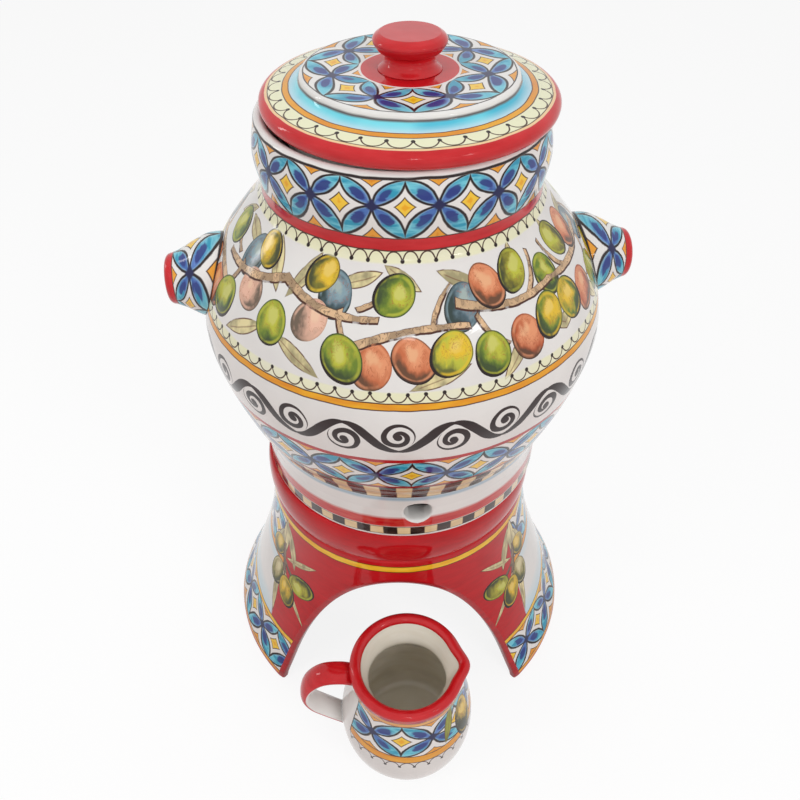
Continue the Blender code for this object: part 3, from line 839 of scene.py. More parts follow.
def jar_side(gap=0.0):
    """The jar's outer side from the lip down to the foot, moved out by a gap."""
    lip = (LIP_RADIUS, JAR_HEIGHT - JAR_WALL / 2)
    collar = (COLLAR_RADIUS, COLLAR_LEVEL)
    neck = (NECK_RADIUS, NECK_LEVEL)
    belly = (BELLY_RADIUS, BELLY_LEVEL)
    foot_top = (FOOT_RADIUS, FOOT_TOP_LEVEL)
    foot = (FOOT_RADIUS, JAR_FOOT_EDGE)
    shoulder = stations(neck, belly, SHOULDER_SHARES)
    underbody = stations(belly, foot_top, UNDERBODY_SHARES)
    line = smooth_line([lip, collar, neck, *shoulder, belly, *underbody, foot_top]) + [foot]
    return offset_line(line, -gap)


def jar_stretches():
    """The jar's profile as plain and painted stretches, from under its foot up over the lip and in."""
    floor = JAR_FOOT_RECESS + JAR_FLOOR
    corner_level = floor + JAR_INSIDE_CORNER
    wall_inside = offset_line(jar_side(), JAR_WALL)
    inner = [spot for spot in wall_inside if corner_level < spot[1] < JAR_HEIGHT - JAR_WALL]
    corner = arc((FOOT_RADIUS - JAR_WALL - JAR_INSIDE_CORNER, corner_level),
                 JAR_INSIDE_CORNER, JAR_INSIDE_CORNER, 0, -90)
    half_wall = JAR_WALL / 2
    lip = arc((LIP_RADIUS - half_wall, JAR_HEIGHT - half_wall), half_wall, half_wall, 0, 180)
    edge = arc((FOOT_RADIUS - JAR_FOOT_EDGE, JAR_FOOT_EDGE), JAR_FOOT_EDGE, JAR_FOOT_EDGE, -90, 0, 4)
    ring_inside = FOOT_RADIUS - JAR_FOOT_RING
    under = [(0.0, JAR_FOOT_RECESS), (ring_inside - JAR_FOOT_RECESS, JAR_FOOT_RECESS),
             (ring_inside, 0.0), edge[0]]
    side = list(reversed(jar_side()))
    outside = [*edge, *side[1:-1], *lip]
    return [(1, under), (0, outside), (1, [lip[-1], *inner, *corner, (0.0, floor)])]


class Shell:
    """A mesh in the making, whose faces carry their places on a paint map and on a baking map."""

    def __init__(self):
        self.shape = bmesh.new()
        self.paint_map = self.shape.loops.layers.uv.new("Paint")
        self.bake_map = self.shape.loops.layers.uv.new("OFBake")

    def point(self, place):
        """A new point of the mesh."""
        return self.shape.verts.new(place)

    def face(self, corners, slot=0):
        """A face of (point, place on the paint map, place on the baking map) corners."""
        kept = {}
        for vertex, *places in corners:
            kept.setdefault(vertex, places)
        face = self.shape.faces.new(list(kept))
        face.material_index = slot
        for loop, (painted, baked) in zip(face.loops, kept.values()):
            loop[self.paint_map].uv = painted
            loop[self.bake_map].uv = baked

    def cap(self, points, slot=0):
        """A plain face across a ring of points."""
        self.shape.faces.new(points).material_index = slot

    def finish(self, name):
        """The mesh as a smooth object of the scene."""
        bmesh.ops.recalc_face_normals(self.shape, faces=self.shape.faces)
        mesh = bpy.data.meshes.new(name)
        self.shape.to_mesh(mesh)
        self.shape.free()
        mesh.shade_smooth()
        item = bpy.data.objects.new(name, mesh)
        bpy.context.scene.collection.objects.link(item)
        return item


def corners_at(row, after, step):
    """The four (row, column) corners of the face between two rows, from one column to the next."""
    return (row, step), (row, step + 1), (after, step + 1), (after, step)


def turned(name, stretches, columns=LARGE_COLUMNS):
    """A mesh object of rows of points spun about Z.

    Each stretch is a material index and its (radius, height) points, and starts where the last ended.
    Distances on the paint map count from the start of the first stretch of material 0.
    """
    rows = [stretches[0][1][0]]
    slots = []
    for slot, points in stretches:
        rows += points[1:]
        slots += [slot] * (len(points) - 1)
    distances = lengths(rows)
    start = distances[slots.index(0)]
    spread = [0.0]
    for slot, low, high in zip(slots, distances, distances[1:]):
        spread.append(spread[-1] + (high - low) * (PLAIN_BAKE_SHARE if slot else 1.0))
    shell = Shell()
    angles = [pi * (2 * step / columns - 1) for step in range(columns)]
    grid = []
    for radius, height in rows:
        if radius < SAME_POINT:
            grid.append([shell.point((0.0, 0.0, height))] * columns)
        else:
            grid.append([shell.point(spot(radius, angle, height)) for angle in angles])
    for row, slot in enumerate(slots):
        for step in range(columns):
            shell.face([(grid[at][column % columns],
                         (column / columns, (distances[at] - start) * MM),
                         (column / columns, spread[at] / spread[-1]))
                        for at, column in corners_at(row, row + 1, step)], slot)
    return shell.finish(name)


def settle(item, location, turn=0.0):
    """Puts an object in its place."""
    item.location = location
    item.rotation_euler = (0.0, 0.0, turn)
    return item


def cut_away(item, cutters):
    """Cuts other objects out of an item for good and removes them."""
    for cutter in cutters:
        boolean = item.modifiers.new("cut", "BOOLEAN")
        boolean.operation = "DIFFERENCE"
        boolean.solver = "EXACT"
        boolean.object = cutter
    bpy.context.view_layer.update()
    graph = bpy.context.evaluated_depsgraph_get()
    mesh = bpy.data.meshes.new_from_object(item.evaluated_get(graph))
    old = item.data
    item.modifiers.clear()
    item.data = mesh
    mesh.name = old.name
    mesh.shade_smooth()
    mesh.set_sharp_from_angle(angle=SMALL_CREASE)
    for cutter in cutters:
        bpy.data.objects.remove(cutter, do_unlink=True)


def dress(item, node, body, materials):
    """Gives a piece its materials and the body it moves with, and hides the CAD node it stands in for."""
    for material in materials:
        item.data.materials.append(material)
    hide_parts(node)
    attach(item, body)


def plain_glaze(name, colour, other):
    """A glaze in one colour, streaked with another."""
    glaze = Glaze(name, colour)
    glaze.paint(1.0, colour, other)
    return glaze.finish()


def jar_paint():
    """The jar's painted side, from its foot to its lip."""
    side = jar_stretches()[1][1]
    glaze = Glaze("jar_paint")
    _, distance = glaze.surface(lambda height: along(side, height))
    checker(glaze, JAR_FOOT_SQUARES, SQUARE_COUNT)
    low, high = glaze.edges(JAR_FOOT_RED)
    fade = distance.slide(high - 1.8, high + 1.2, 1.0, 0.0)
    glaze.paint(distance.above(low, SOFT) * fade, RED, CORAL)
    low, high = glaze.edges(JAR_BLUE)
    glaze.paint(distance.inside(low - 1.5, high, 1.5) * 0.75, MISTY_BLUE)
    checker(glaze, JAR_SQUARES, SQUARE_COUNT)
    flowers(glaze, glaze.share(JAR_FLOWERS), *JAR_FLOWER_REPEAT)
    glaze.stripe(JAR_DARK_LINE, shade(RED, 0.75), DARK_RED, SOFT)
    glaze.stripe(JAR_RED_LINE, shade(RED, 0.85), RED, SOFT)
    scroll(glaze, JAR_SCROLL, SCROLL_COUNT)
    garland(glaze, JAR_GARLAND)
    scallops(glaze, JAR_SCALLOPS, *JAR_SCALLOP_REPEAT)
    scallops(glaze, NECK_SCALLOPS, *NECK_SCALLOP_REPEAT)
    glaze.line(JAR_ORANGE_LINE, OUTLINE, ORANGE, DEEP_ORANGE)
    flowers(glaze, glaze.share(COLLAR_FLOWERS), *COLLAR_FLOWER_REPEAT)
    glaze.line(NECK_RED_LINE, OUTLINE, RED, LIGHT_RED)
    glaze.stripe(LIP_LINE, INK, None, SOFT)
    return glaze.finish(JAR_GLOSS)


def tap_drill():
    """The cutter of the tap hole, which widens where it leaves the wall."""
    flare = arc((TAP_HOLE_RADIUS + TAP_HOLE_FLARE, FOOT_RADIUS - TAP_HOLE_FLARE),
                TAP_HOLE_FLARE, TAP_HOLE_FLARE, 180, 90)
    wide = TAP_HOLE_RADIUS + TAP_HOLE_FLARE
    beyond = FOOT_RADIUS + JAR_WALL
    outline = [(0.0, FOOT_RADIUS - 2 * JAR_WALL), (TAP_HOLE_RADIUS, FOOT_RADIUS - 2 * JAR_WALL),
               *flare, (wide, beyond), (0.0, beyond)]
    drill = turned("tap_drill", [(0, outline)], SMALL_COLUMNS)
    for face in drill.data.polygons:
        face.material_index = 1
    drill.rotation_euler = (pi / 2, 0.0, JAR_TURN)
    drill.location = (JAR_OFFSET, AXIS_Y, JAR_BASE + TAP_HOLE_LEVEL)
    return drill


def make_jar():
    """The jar and its two lugs."""
    jar = settle(turned("jar", jar_stretches()), (JAR_OFFSET, AXIS_Y, JAR_BASE), JAR_TURN)
    white = plain_glaze("white_glaze", WHITE, shade(WHITE, 0.95))
    cut_away(jar, [tap_drill()])
    dress(jar, "jar_body", "jar", [jar_paint(), white])
    for node, side in (("handle_left", -1), ("handle_right", 1)):
        lug = make_lug(node, side)
        dress(lug, node, "jar", [lug_paint(node + "_paint", side)])


def lug_outline():
    """The profile of a lug, from the middle of its rounded end to its root."""
    length = BELLY_RADIUS + LUG_REACH - NECK_RADIUS
    edge_level = length - LUG_END_ROUND
    edge = arc((LUG_END_RADIUS - LUG_END_ROUND, edge_level), LUG_END_ROUND, LUG_END_ROUND, 90, 5)
    narrow = (LUG_END_RADIUS, edge_level)
    wide = (LUG_BASE_RADIUS, LUG_ROOT)
    flare = smooth_line([narrow, *stations(narrow, wide, LUG_FLARE_SHARES), wide])
    return [(0.0, length), *edge, *flare[1:], (LUG_BASE_RADIUS, 0.0), (0.0, 0.0)]


def make_lug(name, side):
    """A lug on one side of the jar, cut to the jar's wall."""
    lug = turned(name + "_fine", [(0, lug_outline())], SMALL_COLUMNS)
    lug.location = (JAR_OFFSET + side * NECK_RADIUS * cos(JAR_TURN),
                    AXIS_Y + side * NECK_RADIUS * sin(JAR_TURN), JAR_BASE + LUG_LEVEL)
    lug.rotation_euler = (0.0, side * pi / 2, JAR_TURN)
    form = turned("jar_form", [(0, [(0.0, JAR_HEIGHT), *jar_side(GAP), (0.0, 0.0)])])
    settle(form, (JAR_OFFSET, AXIS_Y, JAR_BASE), JAR_TURN)
    cut_away(lug, [form])
    return lug


def lug_paint(name, side):
    """Three flowers round the lug, one of them up and to the front, and a red end."""
    glaze = Glaze(name)
    turn, distance = glaze.surface(float, 0.3)
    up = (turn * (2 * pi)).math("SINE") * side
    share = (distance - LUG_FLOWERS_START) / (up * LUG_FLOWERS_GROWTH + LUG_FLOWERS_LENGTH)
    flowers(glaze, share, LUG_FLOWER_COUNT, side / LUG_FLOWER_COUNT, LUG_FLOWER_LEAN)
    glaze.paint(share.above(0.955, 0.01), INK)
    glaze.paint(distance.below(LUG_FLOWERS_START, SOFT), BROWN)
    glaze.paint(distance.below(LUG_RED_END, SOFT), RED, LIGHT_RED)
    return glaze.finish()


def lid_stretches():
    """The lid's profile: painted from the middle of its top to its rim, and plain below."""
    half_rim = LID_RIM_THICKNESS / 2
    rim = arc((LID_RADIUS - half_rim, half_rim), half_rim, half_rim, 75, -90, 16)
    step_centre = (LID_STEP_RADIUS - LID_STEP_ROUND, LID_TOP - LID_STEP_ROUND)
    step = arc(step_centre, LID_STEP_ROUND, LID_STEP_ROUND, 90, 0)
    step_foot = (LID_STEP_RADIUS + LID_STEP_HEIGHT / 3, LID_STEP_FOOT_LEVEL)
    flange_outside = MOUTH_RADIUS - FLANGE_CLEARANCE
    flange_inside = flange_outside - FLANGE_WALL
    under_plate = LID_TOP - LID_PLATE
    flange = [(flange_outside, 0.0), (flange_outside, -FLANGE_DEPTH), (flange_inside, -FLANGE_DEPTH)]
    under = [(flange_inside - FLANGE_WALL / 2, under_plate), (0.0, under_plate)]
    slope = stations(rim[0], step_foot, ((0.25, 0.25), (0.5, 0.5), (0.75, 0.75)))
    top = [*flat_top(step[0][0], LID_TOP), *step, step_foot, *reversed(slope), *rim]
    return [(0, top), (1, [rim[-1], *flange, *under])]


def lid_paint():
    """The lid's rings: red middle, flowers, white edge, painted shadow at the step, turquoise, orange,
    scallops and red rim.
    """
    line = lid_stretches()[0][1]
    glaze = Glaze("lid_paint")
    _, distance = glaze.surface(lambda radius: out_along(line, radius))
    flowers(glaze, glaze.share(LID_FLOWERS), *LID_FLOWER_REPEAT)
    glaze.paint(distance.below(glaze.measure(LID_FLOWERS[0]), 0.1), WHITE)
    glaze.paint(distance.below(glaze.measure(LID_RED_MIDDLE), FINE), RED, LIGHT_RED)
    glaze.stripe(LID_DISC_LINE, INK, None, SOFT)
    foot = glaze.measure(LID_DISC_EDGE) + LID_WASH_START
    edge = glaze.measure(LID_ORANGE_LINE[0])
    wash = mix(glaze.tree, glaze.cloud.slide(0.40, 0.62), AQUA, LAGOON)
    wash = mix(glaze.tree, distance.slide(foot + LID_WASH_HOLD, edge), wash, SKY)
    glaze.paint(distance.inside(foot, edge, SOFT), wash)
    # Painted shadow: a soft grey band at the lid's step
    low, high = [foot + move for move in LID_STEP_SHADOW]
    glaze.paint(distance.inside(low, high, 0.5), STEP_SHADOW_GREY)
    glaze.stripe(LID_CREAM, CREAM, None, 0.0)
    scallops(glaze, LID_SCALLOPS, *LID_SCALLOP_REPEAT)
    glaze.line(LID_ORANGE_LINE, LID_OUTLINE, ORANGE, DEEP_ORANGE)
    glaze.stripe(LID_THIN_LINE, BROWN)
    glaze.stripe(LID_PEACH, PEACH, None, SOFT)
    glaze.paint(distance.above(glaze.measure(LID_PEACH[1]), SOFT), RED, LIGHT_RED)
    return glaze.finish()


def flat_top(radius, level):
    """Points from the middle of a flat top to just inside its edge, so that it shades flat."""
    return [(radius * share, level) for share in (0.0, 0.35, 0.7, 0.96)]


def knob_outline():
    """The knob's profile, from the middle of its top to the middle of its base."""
    head_level = KNOB_HEIGHT - KNOB_HEAD_HEIGHT / 2
    head_low = KNOB_HEIGHT - KNOB_HEAD_HEIGHT
    top_round = KNOB_HEAD_RADIUS - KNOB_TOP_RADIUS
    neck = [(KNOB_NECK_RADIUS, head_low * share) for share in KNOB_NECK_SHARES]
    side = smooth_line([
        (KNOB_TOP_RADIUS, KNOB_HEIGHT),
        (KNOB_HEAD_RADIUS - top_round / 4, KNOB_HEIGHT - top_round / 2),
        (KNOB_HEAD_RADIUS, head_level),
        (KNOB_UNDER_RADIUS, head_low),
        *neck,
        (KNOB_BASE_RADIUS, 0.0)])
    top = flat_top(KNOB_TOP_RADIUS, KNOB_HEIGHT)
    return [*top, *side, (0.0, 0.0)]


def make_lid():
    """The lid and its knob."""
    place = (JAR_OFFSET + LID_OFFSET, AXIS_Y, LID_LEVEL)
    lid = settle(turned("lid_fine", lid_stretches()), place, JAR_TURN)
    lid.data.set_sharp_from_angle(angle=SMALL_CREASE)
    dress(lid, "lid", "lid", [lid_paint(), plain_glaze("lid_under", WHITE, shade(WHITE, 0.95))])
    knob = turned("knob_fine", [(0, knob_outline())], SMALL_COLUMNS)
    settle(knob, (place[0], place[1], LID_LEVEL + LID_TOP + GAP))
    dress(knob, "lid_knob", "lid", [plain_glaze("knob_glaze", RED, LIGHT_RED)])


def stand_side():
    """The stand's outer side from the neck down to the base."""
    neck = (STAND_NECK_RADIUS, STAND_HEIGHT - RING_HEIGHT)
    base = (STAND_BASE_RADIUS, STAND_FOOT_EDGE)
    return smooth_line([neck, *stations(neck, base, FLARE_SHARES), base])


def radius_at(line, level):
    """The radius of a falling line at a level."""
    for high, low in zip(line, line[1:]):
        if low[1] <= level <= high[1] and high[1] > low[1]:
            return between(low[0], high[0], (level - low[1]) / (high[1] - low[1]))
    return line[-1][0] if level < line[-1][1] else line[0][0]


def stand_rows():
    """Rows up the side as (edge azimuth, height, outer radius, inner radius, angle on the arch)."""
    line = stand_side()
    inner = offset_line(line, STAND_WALL)
    half = ARCH_HALF_ANGLE + ARCH_EDGE_ROUND / STAND_BASE_RADIUS
    high = ARCH_HEIGHT + ARCH_EDGE_ROUND
    rows = [(half, 0.0, STAND_BASE_RADIUS - STAND_FOOT_EDGE, STAND_BASE_RADIUS - STAND_WALL, 0.0)]
    for step in range(ARCH_ROWS + 1):
        angle = between(0.03, pi / 2, step / ARCH_ROWS)
        level = high * sin(angle)
        edge = half * cos(angle) if step < ARCH_ROWS else 0.0
        rows.append((edge, level, radius_at(line, level), radius_at(inner, level), angle))
    top = STAND_HEIGHT - RING_HEIGHT
    for step in range(1, CROWN_STEPS + 1):
        level = between(high, top, step / CROWN_STEPS)
        rows.append((0.0, level, radius_at(line, level), radius_at(inner, level), None))
    return rows


def edge_point(row, side, share):
    """A point on the arch's rounded cut edge, from the outside at share 0 to the inside at 1."""
    azimuth, level, outer, inner, angle = row
    across = cos(angle) / (ARCH_HALF_ANGLE * outer)
    up = sin(angle) / ARCH_HEIGHT
    size = hypot(across, up)
    swell = (1 - abs(2 * share - 1) ** 4) ** 0.5
    line = stand_side()
    new_level = max(0.0, level - ARCH_EDGE_ROUND * swell * up / size)
    azimuth -= ARCH_EDGE_ROUND * swell * across / size / outer
    radius = radius_at(line, new_level) if level > 0 else outer
    radius -= share * (outer - inner)
    return spot(radius, side * azimuth, new_level)


def spot(radius, azimuth, level):
    """A point at an azimuth counted from the front."""
    return (radius * sin(azimuth), -radius * cos(azimuth), level)


def make_stand():
    """The arched stand: its wall drawn row by row round the back, from one arch edge to the other."""
    rows = stand_rows()
    seat_centre = (SEAT_RADIUS, STAND_HEIGHT - RING_HEIGHT / 2)
    ring = arc(seat_centre, RING_RADIUS - SEAT_RADIUS, RING_HEIGHT / 2, -80, 90, 20)
    under_seat = STAND_HEIGHT - SEAT_THICKNESS
    crown = [*ring, (SEAT_HOLE_RADIUS, STAND_HEIGHT), (SEAT_HOLE_RADIUS, under_seat),
             (rows[-1][3] - STAND_WALL / 2, under_seat)]
    profile = [(row[0], row[2], row[1]) for row in rows]
    profile += [(0.0, radius, level) for radius, level in crown]
    profile += [(row[0], row[3], row[1]) for row in reversed(rows)]
    distances = lengths([(radius, level) for _, radius, level in profile])
    shell = Shell()
    columns = range(LARGE_COLUMNS + 1)
    grid = []
    for edge, radius, level in profile:
        angles = [between(edge, 2 * pi - edge, step / LARGE_COLUMNS) for step in columns]
        grid.append([(shell.point(spot(radius, angle, level)), angle / (2 * pi)) for angle in angles])
    painted_rows = len(rows) + len(crown) - 2
    for row in range(len(grid)):
        for step in range(LARGE_COLUMNS):
            add_patch(shell, grid, distances, row, step, 0 if row < painted_rows else 1)
    add_edges(shell, grid, rows)
    bmesh.ops.remove_doubles(shell.shape, verts=shell.shape.verts, dist=SAME_POINT)
    stand = settle(shell.finish("stand_fine"), (0.0, AXIS_Y, 0.0))
    stand.data.set_sharp_from_angle(angle=LARGE_CREASE)
    inside = plain_glaze("stand_inside", WHITE, shade(WHITE, 0.93))
    edge = plain_glaze("stand_edge", RED, shade(RED, 0.86))
    dress(stand, "stand", "stand", [stand_paint(), inside, edge])


def add_patch(shell, grid, distances, row, step, slot):
    """One face of the stand's wall, whose turns on the paint map run from its back over its front."""
    shift = 0.5 if step * 2 < LARGE_COLUMNS else -0.5
    corners = []
    for at, column in corners_at(row, (row + 1) % len(grid), step):
        vertex, turn = grid[at][column]
        baked = (WALL_BAKE_SHARE * column / LARGE_COLUMNS, at / len(grid))
        corners.append((vertex, (turn + shift, distances[at] * MM), baked))
    shell.face(corners, slot)


def add_edges(shell, grid, rows):
    """The rounded cut edges of the arch, and their feet."""
    for side, column in ((1, 0), (-1, LARGE_COLUMNS)):
        lines = []
        for index, row in enumerate(rows):
            if row[4] is not None:
                outer = grid[index][column][0]
                inner = grid[-1 - index][column][0]
                middle = [shell.point(edge_point(row, side, share / EDGE_STEPS))
                          for share in range(1, EDGE_STEPS)]
                lines.append([outer, *middle, inner])
        for low in range(len(lines) - 1):
            for step in range(EDGE_STEPS):
                shell.face([(lines[at][share], (share / EDGE_STEPS, at),
                             (EDGE_BAKE_START + EDGE_BAKE_SHARE * (side + 1 + share / EDGE_STEPS),
                              at / len(lines)))
                            for at, share in corners_at(low, low + 1, step)], 2)
        shell.cap(lines[0], 2)


def stand_paint():
    """The stand's outside: flowers round the base, a red front, white sides and olive sprigs."""
    line = [(row[2], row[1]) for row in stand_rows()]
    glaze = Glaze("stand_paint")
    turn, distance = glaze.surface(lambda height: along(line, height))
    away = abs(turn - 0.5) * 360.0
    low, high = glaze.edges(STAND_WASH)
    top = glaze.measure(STAND_MIDDLE_LINE[0])
    blue = distance.slide(low + STAND_WASH_LAG[0], high + STAND_WASH_LAG[1], 1.0, 0.0)
    blue = blue.most(distance.slide(top - STAND_WASH_LEAD[0], top - STAND_WASH_LEAD[1]) * 0.8)
    glaze.paint(blue * glaze.cloud.slide(0.35, 0.6, 0.55, 1.0), SKY)
    flowers(glaze, glaze.share(STAND_FLOWERS), *STAND_FLOWER_REPEAT)
    glaze.line(STAND_MIDDLE_LINE, WIDEST_OUTLINE, AMBER, DEEP_ORANGE, SOFT)
    # The red front, between the arch and the sprigs
    red = mix(glaze.tree, glaze.streak, RED, shade(RED, 0.90))
    red = mix(glaze.tree, glaze.cloud.slide(0.3, 0.7) * 0.5, red, LIGHT_RED)
    front = (away + (glaze.cloud - 0.5) * 5.0).below(STAND_FRONT_ANGLE, 0.4)
    glaze.paint(front.most(distance.above(glaze.measure(STAND_NECK_LINE[1]))), red)
    flowers(glaze, glaze.share(STAND_BASE_FLOWERS), *STAND_BASE_FLOWER_REPEAT)
    glaze.line(STAND_LOW_LINE, BROAD_OUTLINE, ORANGE, YELLOW, SOFT)
    glaze.line(STAND_NECK_LINE, OUTLINE, ORANGE, YELLOW, SOFT)
    glaze.paint(distance.below(glaze.measure(STAND_BASE_FLOWERS[0]), SOFT), BROWN)
    glaze.paint(distance.below(glaze.measure(STAND_EDGE_ORANGE), SOFT), ORANGE, DEEP_ORANGE)
    glaze.paint(distance.below(glaze.measure(STAND_EDGE_RED), 0.3), red)
    sprigs(glaze, away)
    # The arch's edge stays red on the outside too
    height = Wire(glaze.tree, parts(glaze.place)[0].socket.node.outputs[2]) * MM
    arch = reach(point(glaze.tree, away / (ARCH_HALF_ANGLE * 180 / pi), height / (ARCH_HEIGHT * MM)))
    glaze.paint(arch.below(1.018, 0.002), shade(RED, 0.80), DARK_RED)
    return glaze.finish(STAND_GLOSS)


def sprigs(glaze, away):
    """An olive sprig on each side of the arch, one the mirror of the other."""
    x = (away - SPRIG_ANGLE) * (SPRIG_RADIUS * pi / 180.0)
    bunch = Bunch(glaze, x, glaze.distance - glaze.measure(SPRIG_LEVEL))
    bunch.leaves(((-20, 14, 21, 3.0, -24), (3, 26, 24, 5.4, 96), (-8, 23, 22, 4.6, 74),
                  (6, -32, 30, 3.6, -100), (-17, -27, 26, 2.2, 48), (13, 18, 20, 4.4, 118)))
    bunch.olives(((8, -19, 15, 10.5, 102, OLIVE, LEAF, 0.9), (14, 8, 14, 10, 128, OLIVE, GOLD, 0.8)))
    bunch.twigs(((2, 4, 15, 80, 0.10, 1.7), (-7, -4, 9, 30, 0.1, 1.1)), shade(TAN, 0.62))
    bunch.olives(((-24, -9, 15.5, 10.5, -16, OLIVE, LIME, 1.0), (-9, -27, 15, 10.5, 66, OLIVE, GOLD, 1.0)))


def jug_side():
    """The jug's outer side from under the rim down to the foot."""
    neck = (JUG_NECK_RADIUS, JUG_NECK_LEVEL)
    belly = (JUG_BELLY_RADIUS, JUG_BELLY_LEVEL)
    foot = (JUG_FOOT_RADIUS, 0.0)
    rim = (JUG_RIM_RADIUS, JUG_HEIGHT - JUG_RIM_THICKNESS / 2)
    shoulder = stations(neck, belly, JUG_SHOULDER_SHARES)
    underbody = stations(belly, foot, JUG_UNDERBODY_SHARES)
    return smooth_line([rim, neck, *shoulder, belly, *underbody, foot])


def jug_rim(start, steps, gap=0.0):
    """The rolled rim, from an angle in degrees round to its outside, moved out by a gap."""
    half = JUG_RIM_THICKNESS / 2
    return arc((JUG_RIM_RADIUS - half, JUG_HEIGHT - half), half + gap, half + gap, start, 0, steps)


def jug_stretches():
    """The jug's profile: plain below, painted up its side and over the rim, and plain inside."""
    floor = JUG_FOOT_RECESS + JUG_FLOOR
    corner_level = floor + JUG_INSIDE_CORNER
    rim = list(reversed(jug_rim(180, 20)))
    throat = (JUG_THROAT_RADIUS, JUG_HEIGHT - JUG_THROAT_DROP)
    belly = (JUG_BELLY_RADIUS - JUG_WALL, JUG_BELLY_LEVEL)
    bowl = smooth_line([rim[-1], throat, *stations(throat, belly, JUG_THROAT_SHARES), belly])
    wall_inside = offset_line(jug_side(), JUG_WALL)
    lower = [spot for spot in wall_inside if corner_level < spot[1] < JUG_BELLY_LEVEL]
    inner = [*bowl[1:], *lower]
    corner_radius = inner[-1][0] - JUG_INSIDE_CORNER
    corner = arc((corner_radius, corner_level), JUG_INSIDE_CORNER, JUG_INSIDE_CORNER, 0, -90)
    ring_inside = JUG_FOOT_RADIUS - JUG_FOOT_RING
    side = list(reversed(jug_side()))
    under = [(0.0, JUG_FOOT_RECESS), (ring_inside - JUG_FOOT_RECESS, JUG_FOOT_RECESS),
             (ring_inside, 0.0), side[0]]
    return [(1, under), (0, [*side[:-1], *rim]), (1, [rim[-1], *inner, *corner[1:], (0.0, floor)])]


def pull_spout(mesh):
    """Draws the rim out on the +X side, most at the top and nothing below the spout's depth."""
    for vertex in mesh.vertices:
        angle = atan2(vertex.co.y, vertex.co.x)
        depth = (JUG_HEIGHT - vertex.co.z) / SPOUT_DEPTH
        if abs(angle) < SPOUT_HALF_ANGLE and depth < 1:
            across = (1 + cos(pi * angle / SPOUT_HALF_ANGLE)) / 2
            down = (1 + cos(pi * depth)) / 2
            vertex.co.x += SPOUT_REACH * across * across * down


def jug_paint():
    """The jug's side: six flowers between orange lines, scallops below and a red rim."""
    side = jug_stretches()[1][1]
    glaze = Glaze("jug_paint", shade(WHITE, 0.98))
    turn, distance = glaze.surface(lambda height: along(side, height), 0.4)
    flowers(glaze, glaze.share(JUG_FLOWERS), *JUG_FLOWER_REPEAT)
    scallops(glaze, JUG_SCALLOPS, *JUG_SCALLOP_REPEAT, washed=False)
    glaze.line(JUG_LOW_LINE, BROAD_OUTLINE, ORANGE, DEEP_ORANGE)
    glaze.line(JUG_HIGH_LINE, BROAD_OUTLINE, ORANGE, DEEP_ORANGE)
    x = ((turn - 0.5) * 360.0 - JUG_OLIVE_ANGLE) * (JUG_OLIVE_RADIUS * pi / 180.0)
    bunch = Bunch(glaze, x, distance - glaze.measure(JUG_FLOWERS[0]) - JUG_OLIVE_RISE)
    bunch.leaves(((-15, 10, 20, 3.8, 72), (4, 26, 12, 3.6, 10)), MOSS)
    bunch.olives(((2, -1, 20, 11, 84, shade(OLIVE, 0.55), GOLD, 1.0),))
    # White round the handle's root, with a dark line beside it
    away = abs(turn - 0.25) * 360.0
    bottom = glaze.measure(JUG_LOW_LINE[0])
    top = glaze.measure(JUG_HIGH_LINE[1])
    glaze.paint(away.below(JUG_BARE_ANGLE) * distance.below(top), WHITE)
    glaze.paint(away.inside(*JUG_BARE_LINE, 0.1) * distance.inside(bottom, top), INK)
    glaze.paint(distance.above(top, SOFT), RED, LIGHT_RED)
    return glaze.finish()


def handle_path():
    """The middle line of the jug's handle, as (reach, level) points."""
    root = (HANDLE_ROOT_REACH, JUG_HEIGHT * HANDLE_ROOT_SHARE)
    bow = (HANDLE_REACH, JUG_HEIGHT - HANDLE_TOP_DROP)
    return smooth_line([(between(root[0], bow[0], out), between(root[1], bow[1], up))
                        for out, up in HANDLE_SHARES])


def make_handle():
    """The strap handle: an oval drawn along its path, with the paint map's x at 0 outside."""
    path = handle_path()
    count = HANDLE_COLUMNS
    distances = lengths(path)
    shell = Shell()
    rings = []
    for index, (out, level) in enumerate(path):
        before = path[max(index - 1, 0)]
        after = path[min(index + 1, len(path) - 1)]
        size = hypot(after[0] - before[0], after[1] - before[1])
        normal = ((before[1] - after[1]) / size, (after[0] - before[0]) / size)
        ring = []
        for step in range(count):
            angle = 2 * pi * step / count
            thick = cos(angle) * HANDLE_THICKNESS / 2
            wide = sin(angle) * HANDLE_WIDTH / 2
            ring.append(shell.point((-(out + normal[0] * thick), wide, level + normal[1] * thick)))
        rings.append(ring)
    for row in range(len(rings) - 1):
        for step in range(count):
            shell.face([(rings[at][column % count],
                         (column / count, distances[at] * MM),
                         (column / count, distances[at] / distances[-1]))
                        for at, column in corners_at(row, row + 1, step)])
    shell.cap(rings[0])
    shell.cap(rings[-1])
    return shell.finish("jug_handle_fine")


def handle_paint():
    """Red on the outside of the strap and white on the inside."""
    glaze = Glaze("jug_handle_paint")
    turn, _ = glaze.surface(float, 1.2)
    glaze.paint(abs(turn - 0.5).above(0.24, 0.012), RED, LIGHT_RED)
    return glaze.finish()


def make_jug():
    """The jug and its handle."""
    place = (JAR_OFFSET + JUG_SIDE_SHIFT, AXIS_Y - JUG_DISTANCE, 0.0)
    jug = turned("jug_fine", jug_stretches())
    pull_spout(jug.data)
    jug.data.set_sharp_from_angle(angle=LARGE_CREASE)
    settle(jug, place)
    dress(jug, "jug_body", "jug", [jug_paint(), plain_glaze("jug_inside", IVORY, DARK_IVORY)])
    handle = settle(make_handle(), place, HANDLE_TURN)
    wall = offset_line(jug_side(), -GAP)
    outline = [(0.0, JUG_HEIGHT + GAP), *jug_rim(90, 12, GAP), *wall[1:], (0.0, 0.0)]
    form = settle(turned("jug_form", [(0, outline)]), place)
    cut_away(handle, [form])
    dress(handle, "jug_handle", "jug", [handle_paint()])


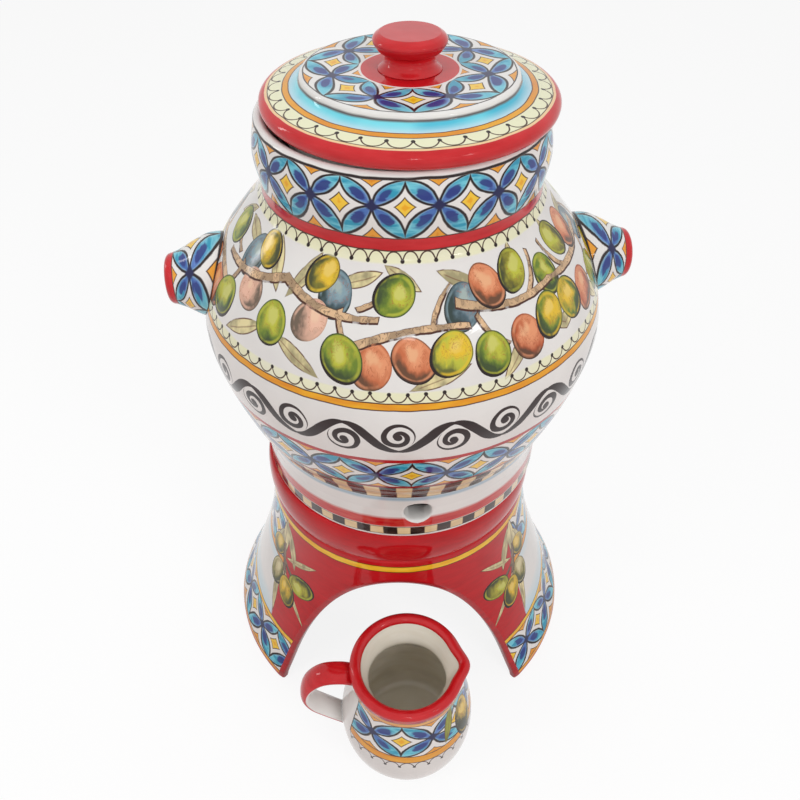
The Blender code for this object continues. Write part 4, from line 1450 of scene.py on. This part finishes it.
def seen_or_mirrored(tree):
    """1 for what the camera sees, straight or in a mirror or through glass, and 0 otherwise."""
    path = wire(tree, "ShaderNodeLightPath")
    mirrored = Wire(tree, path.socket.node.outputs["Is Glossy Ray"])
    through = Wire(tree, path.socket.node.outputs["Is Transmission Ray"])
    return path.most(mirrored).most(through)


def make_floor():
    """A plain pale floor that keeps a soft shadow."""
    bpy.ops.mesh.primitive_plane_add(size=FLOOR_SIZE, location=(0.0, 0.0, -FLOOR_DROP))
    floor = bpy.context.object
    floor.name = "floor"
    material = bpy.data.materials.new("floor")
    material.use_nodes = True
    tree = material.node_tree
    tree.nodes.clear()
    seen = seen_or_mirrored(tree)
    pale = mix(tree, seen, FLOOR_BOUNCE, FLOOR_SEEN)
    plain = wire(tree, "ShaderNodeBsdfDiffuse", {"Color": pale})
    glow = wire(tree, "ShaderNodeEmission", {"Color": PURE_WHITE, "Strength": 1.0})
    surface = wire(tree, "ShaderNodeMixShader", {0: seen * FLOOR_GLOW, 1: plain, 2: glow})
    output = tree.nodes.new("ShaderNodeOutputMaterial")
    tree.links.new(surface.socket, output.inputs["Surface"])
    floor.data.materials.append(material)


def make_world():
    """White where it is seen or mirrored, and a soft grey light otherwise."""
    world = bpy.data.worlds.new("studio")
    bpy.context.scene.world = world
    world.use_nodes = True
    tree = world.node_tree
    tree.nodes.clear()
    strength = seen_or_mirrored(tree).slide(0.0, 1.0, WORLD_LIGHT, 1.0)
    light = wire(tree, "ShaderNodeBackground", {"Color": PURE_WHITE, "Strength": strength})
    output = tree.nodes.new("ShaderNodeOutputWorld")
    tree.links.new(light.socket, output.inputs["Surface"])


def lamp(name, location, size, power, mirrored):
    """A soft rectangular lamp that faces the set, and shows in the glaze only if it is mirrored."""
    data = bpy.data.lights.new(name, "AREA")
    data.shape = "RECTANGLE"
    data.size, data.size_y = size
    data.energy = power
    item = bpy.data.objects.new(name, data)
    bpy.context.scene.collection.objects.link(item)
    item.visible_glossy = mirrored
    item.location = location
    direction = Vector(LAMP_TARGET) - Vector(location)
    item.rotation_euler = direction.to_track_quat("-Z", "Y").to_euler()


def make_camera():
    """The camera at the photograph's angle."""
    data = bpy.data.cameras.new("camera")
    data.sensor_width = CAMERA_SENSOR
    data.lens = CAMERA_LENS
    data.shift_x = CAMERA_SHIFT
    camera = bpy.data.objects.new("camera", data)
    bpy.context.scene.collection.objects.link(camera)
    camera.location = CAMERA_PLACE
    camera.rotation_euler = (CAMERA_TILT, 0.0, 0.0)
    bpy.context.scene.camera = camera


make_jar()
make_lid()
make_stand()
make_jug()
make_floor()
make_world()
for values in LAMPS:
    lamp(*values)
make_camera()
bpy.context.scene.view_settings.view_transform = "Standard"
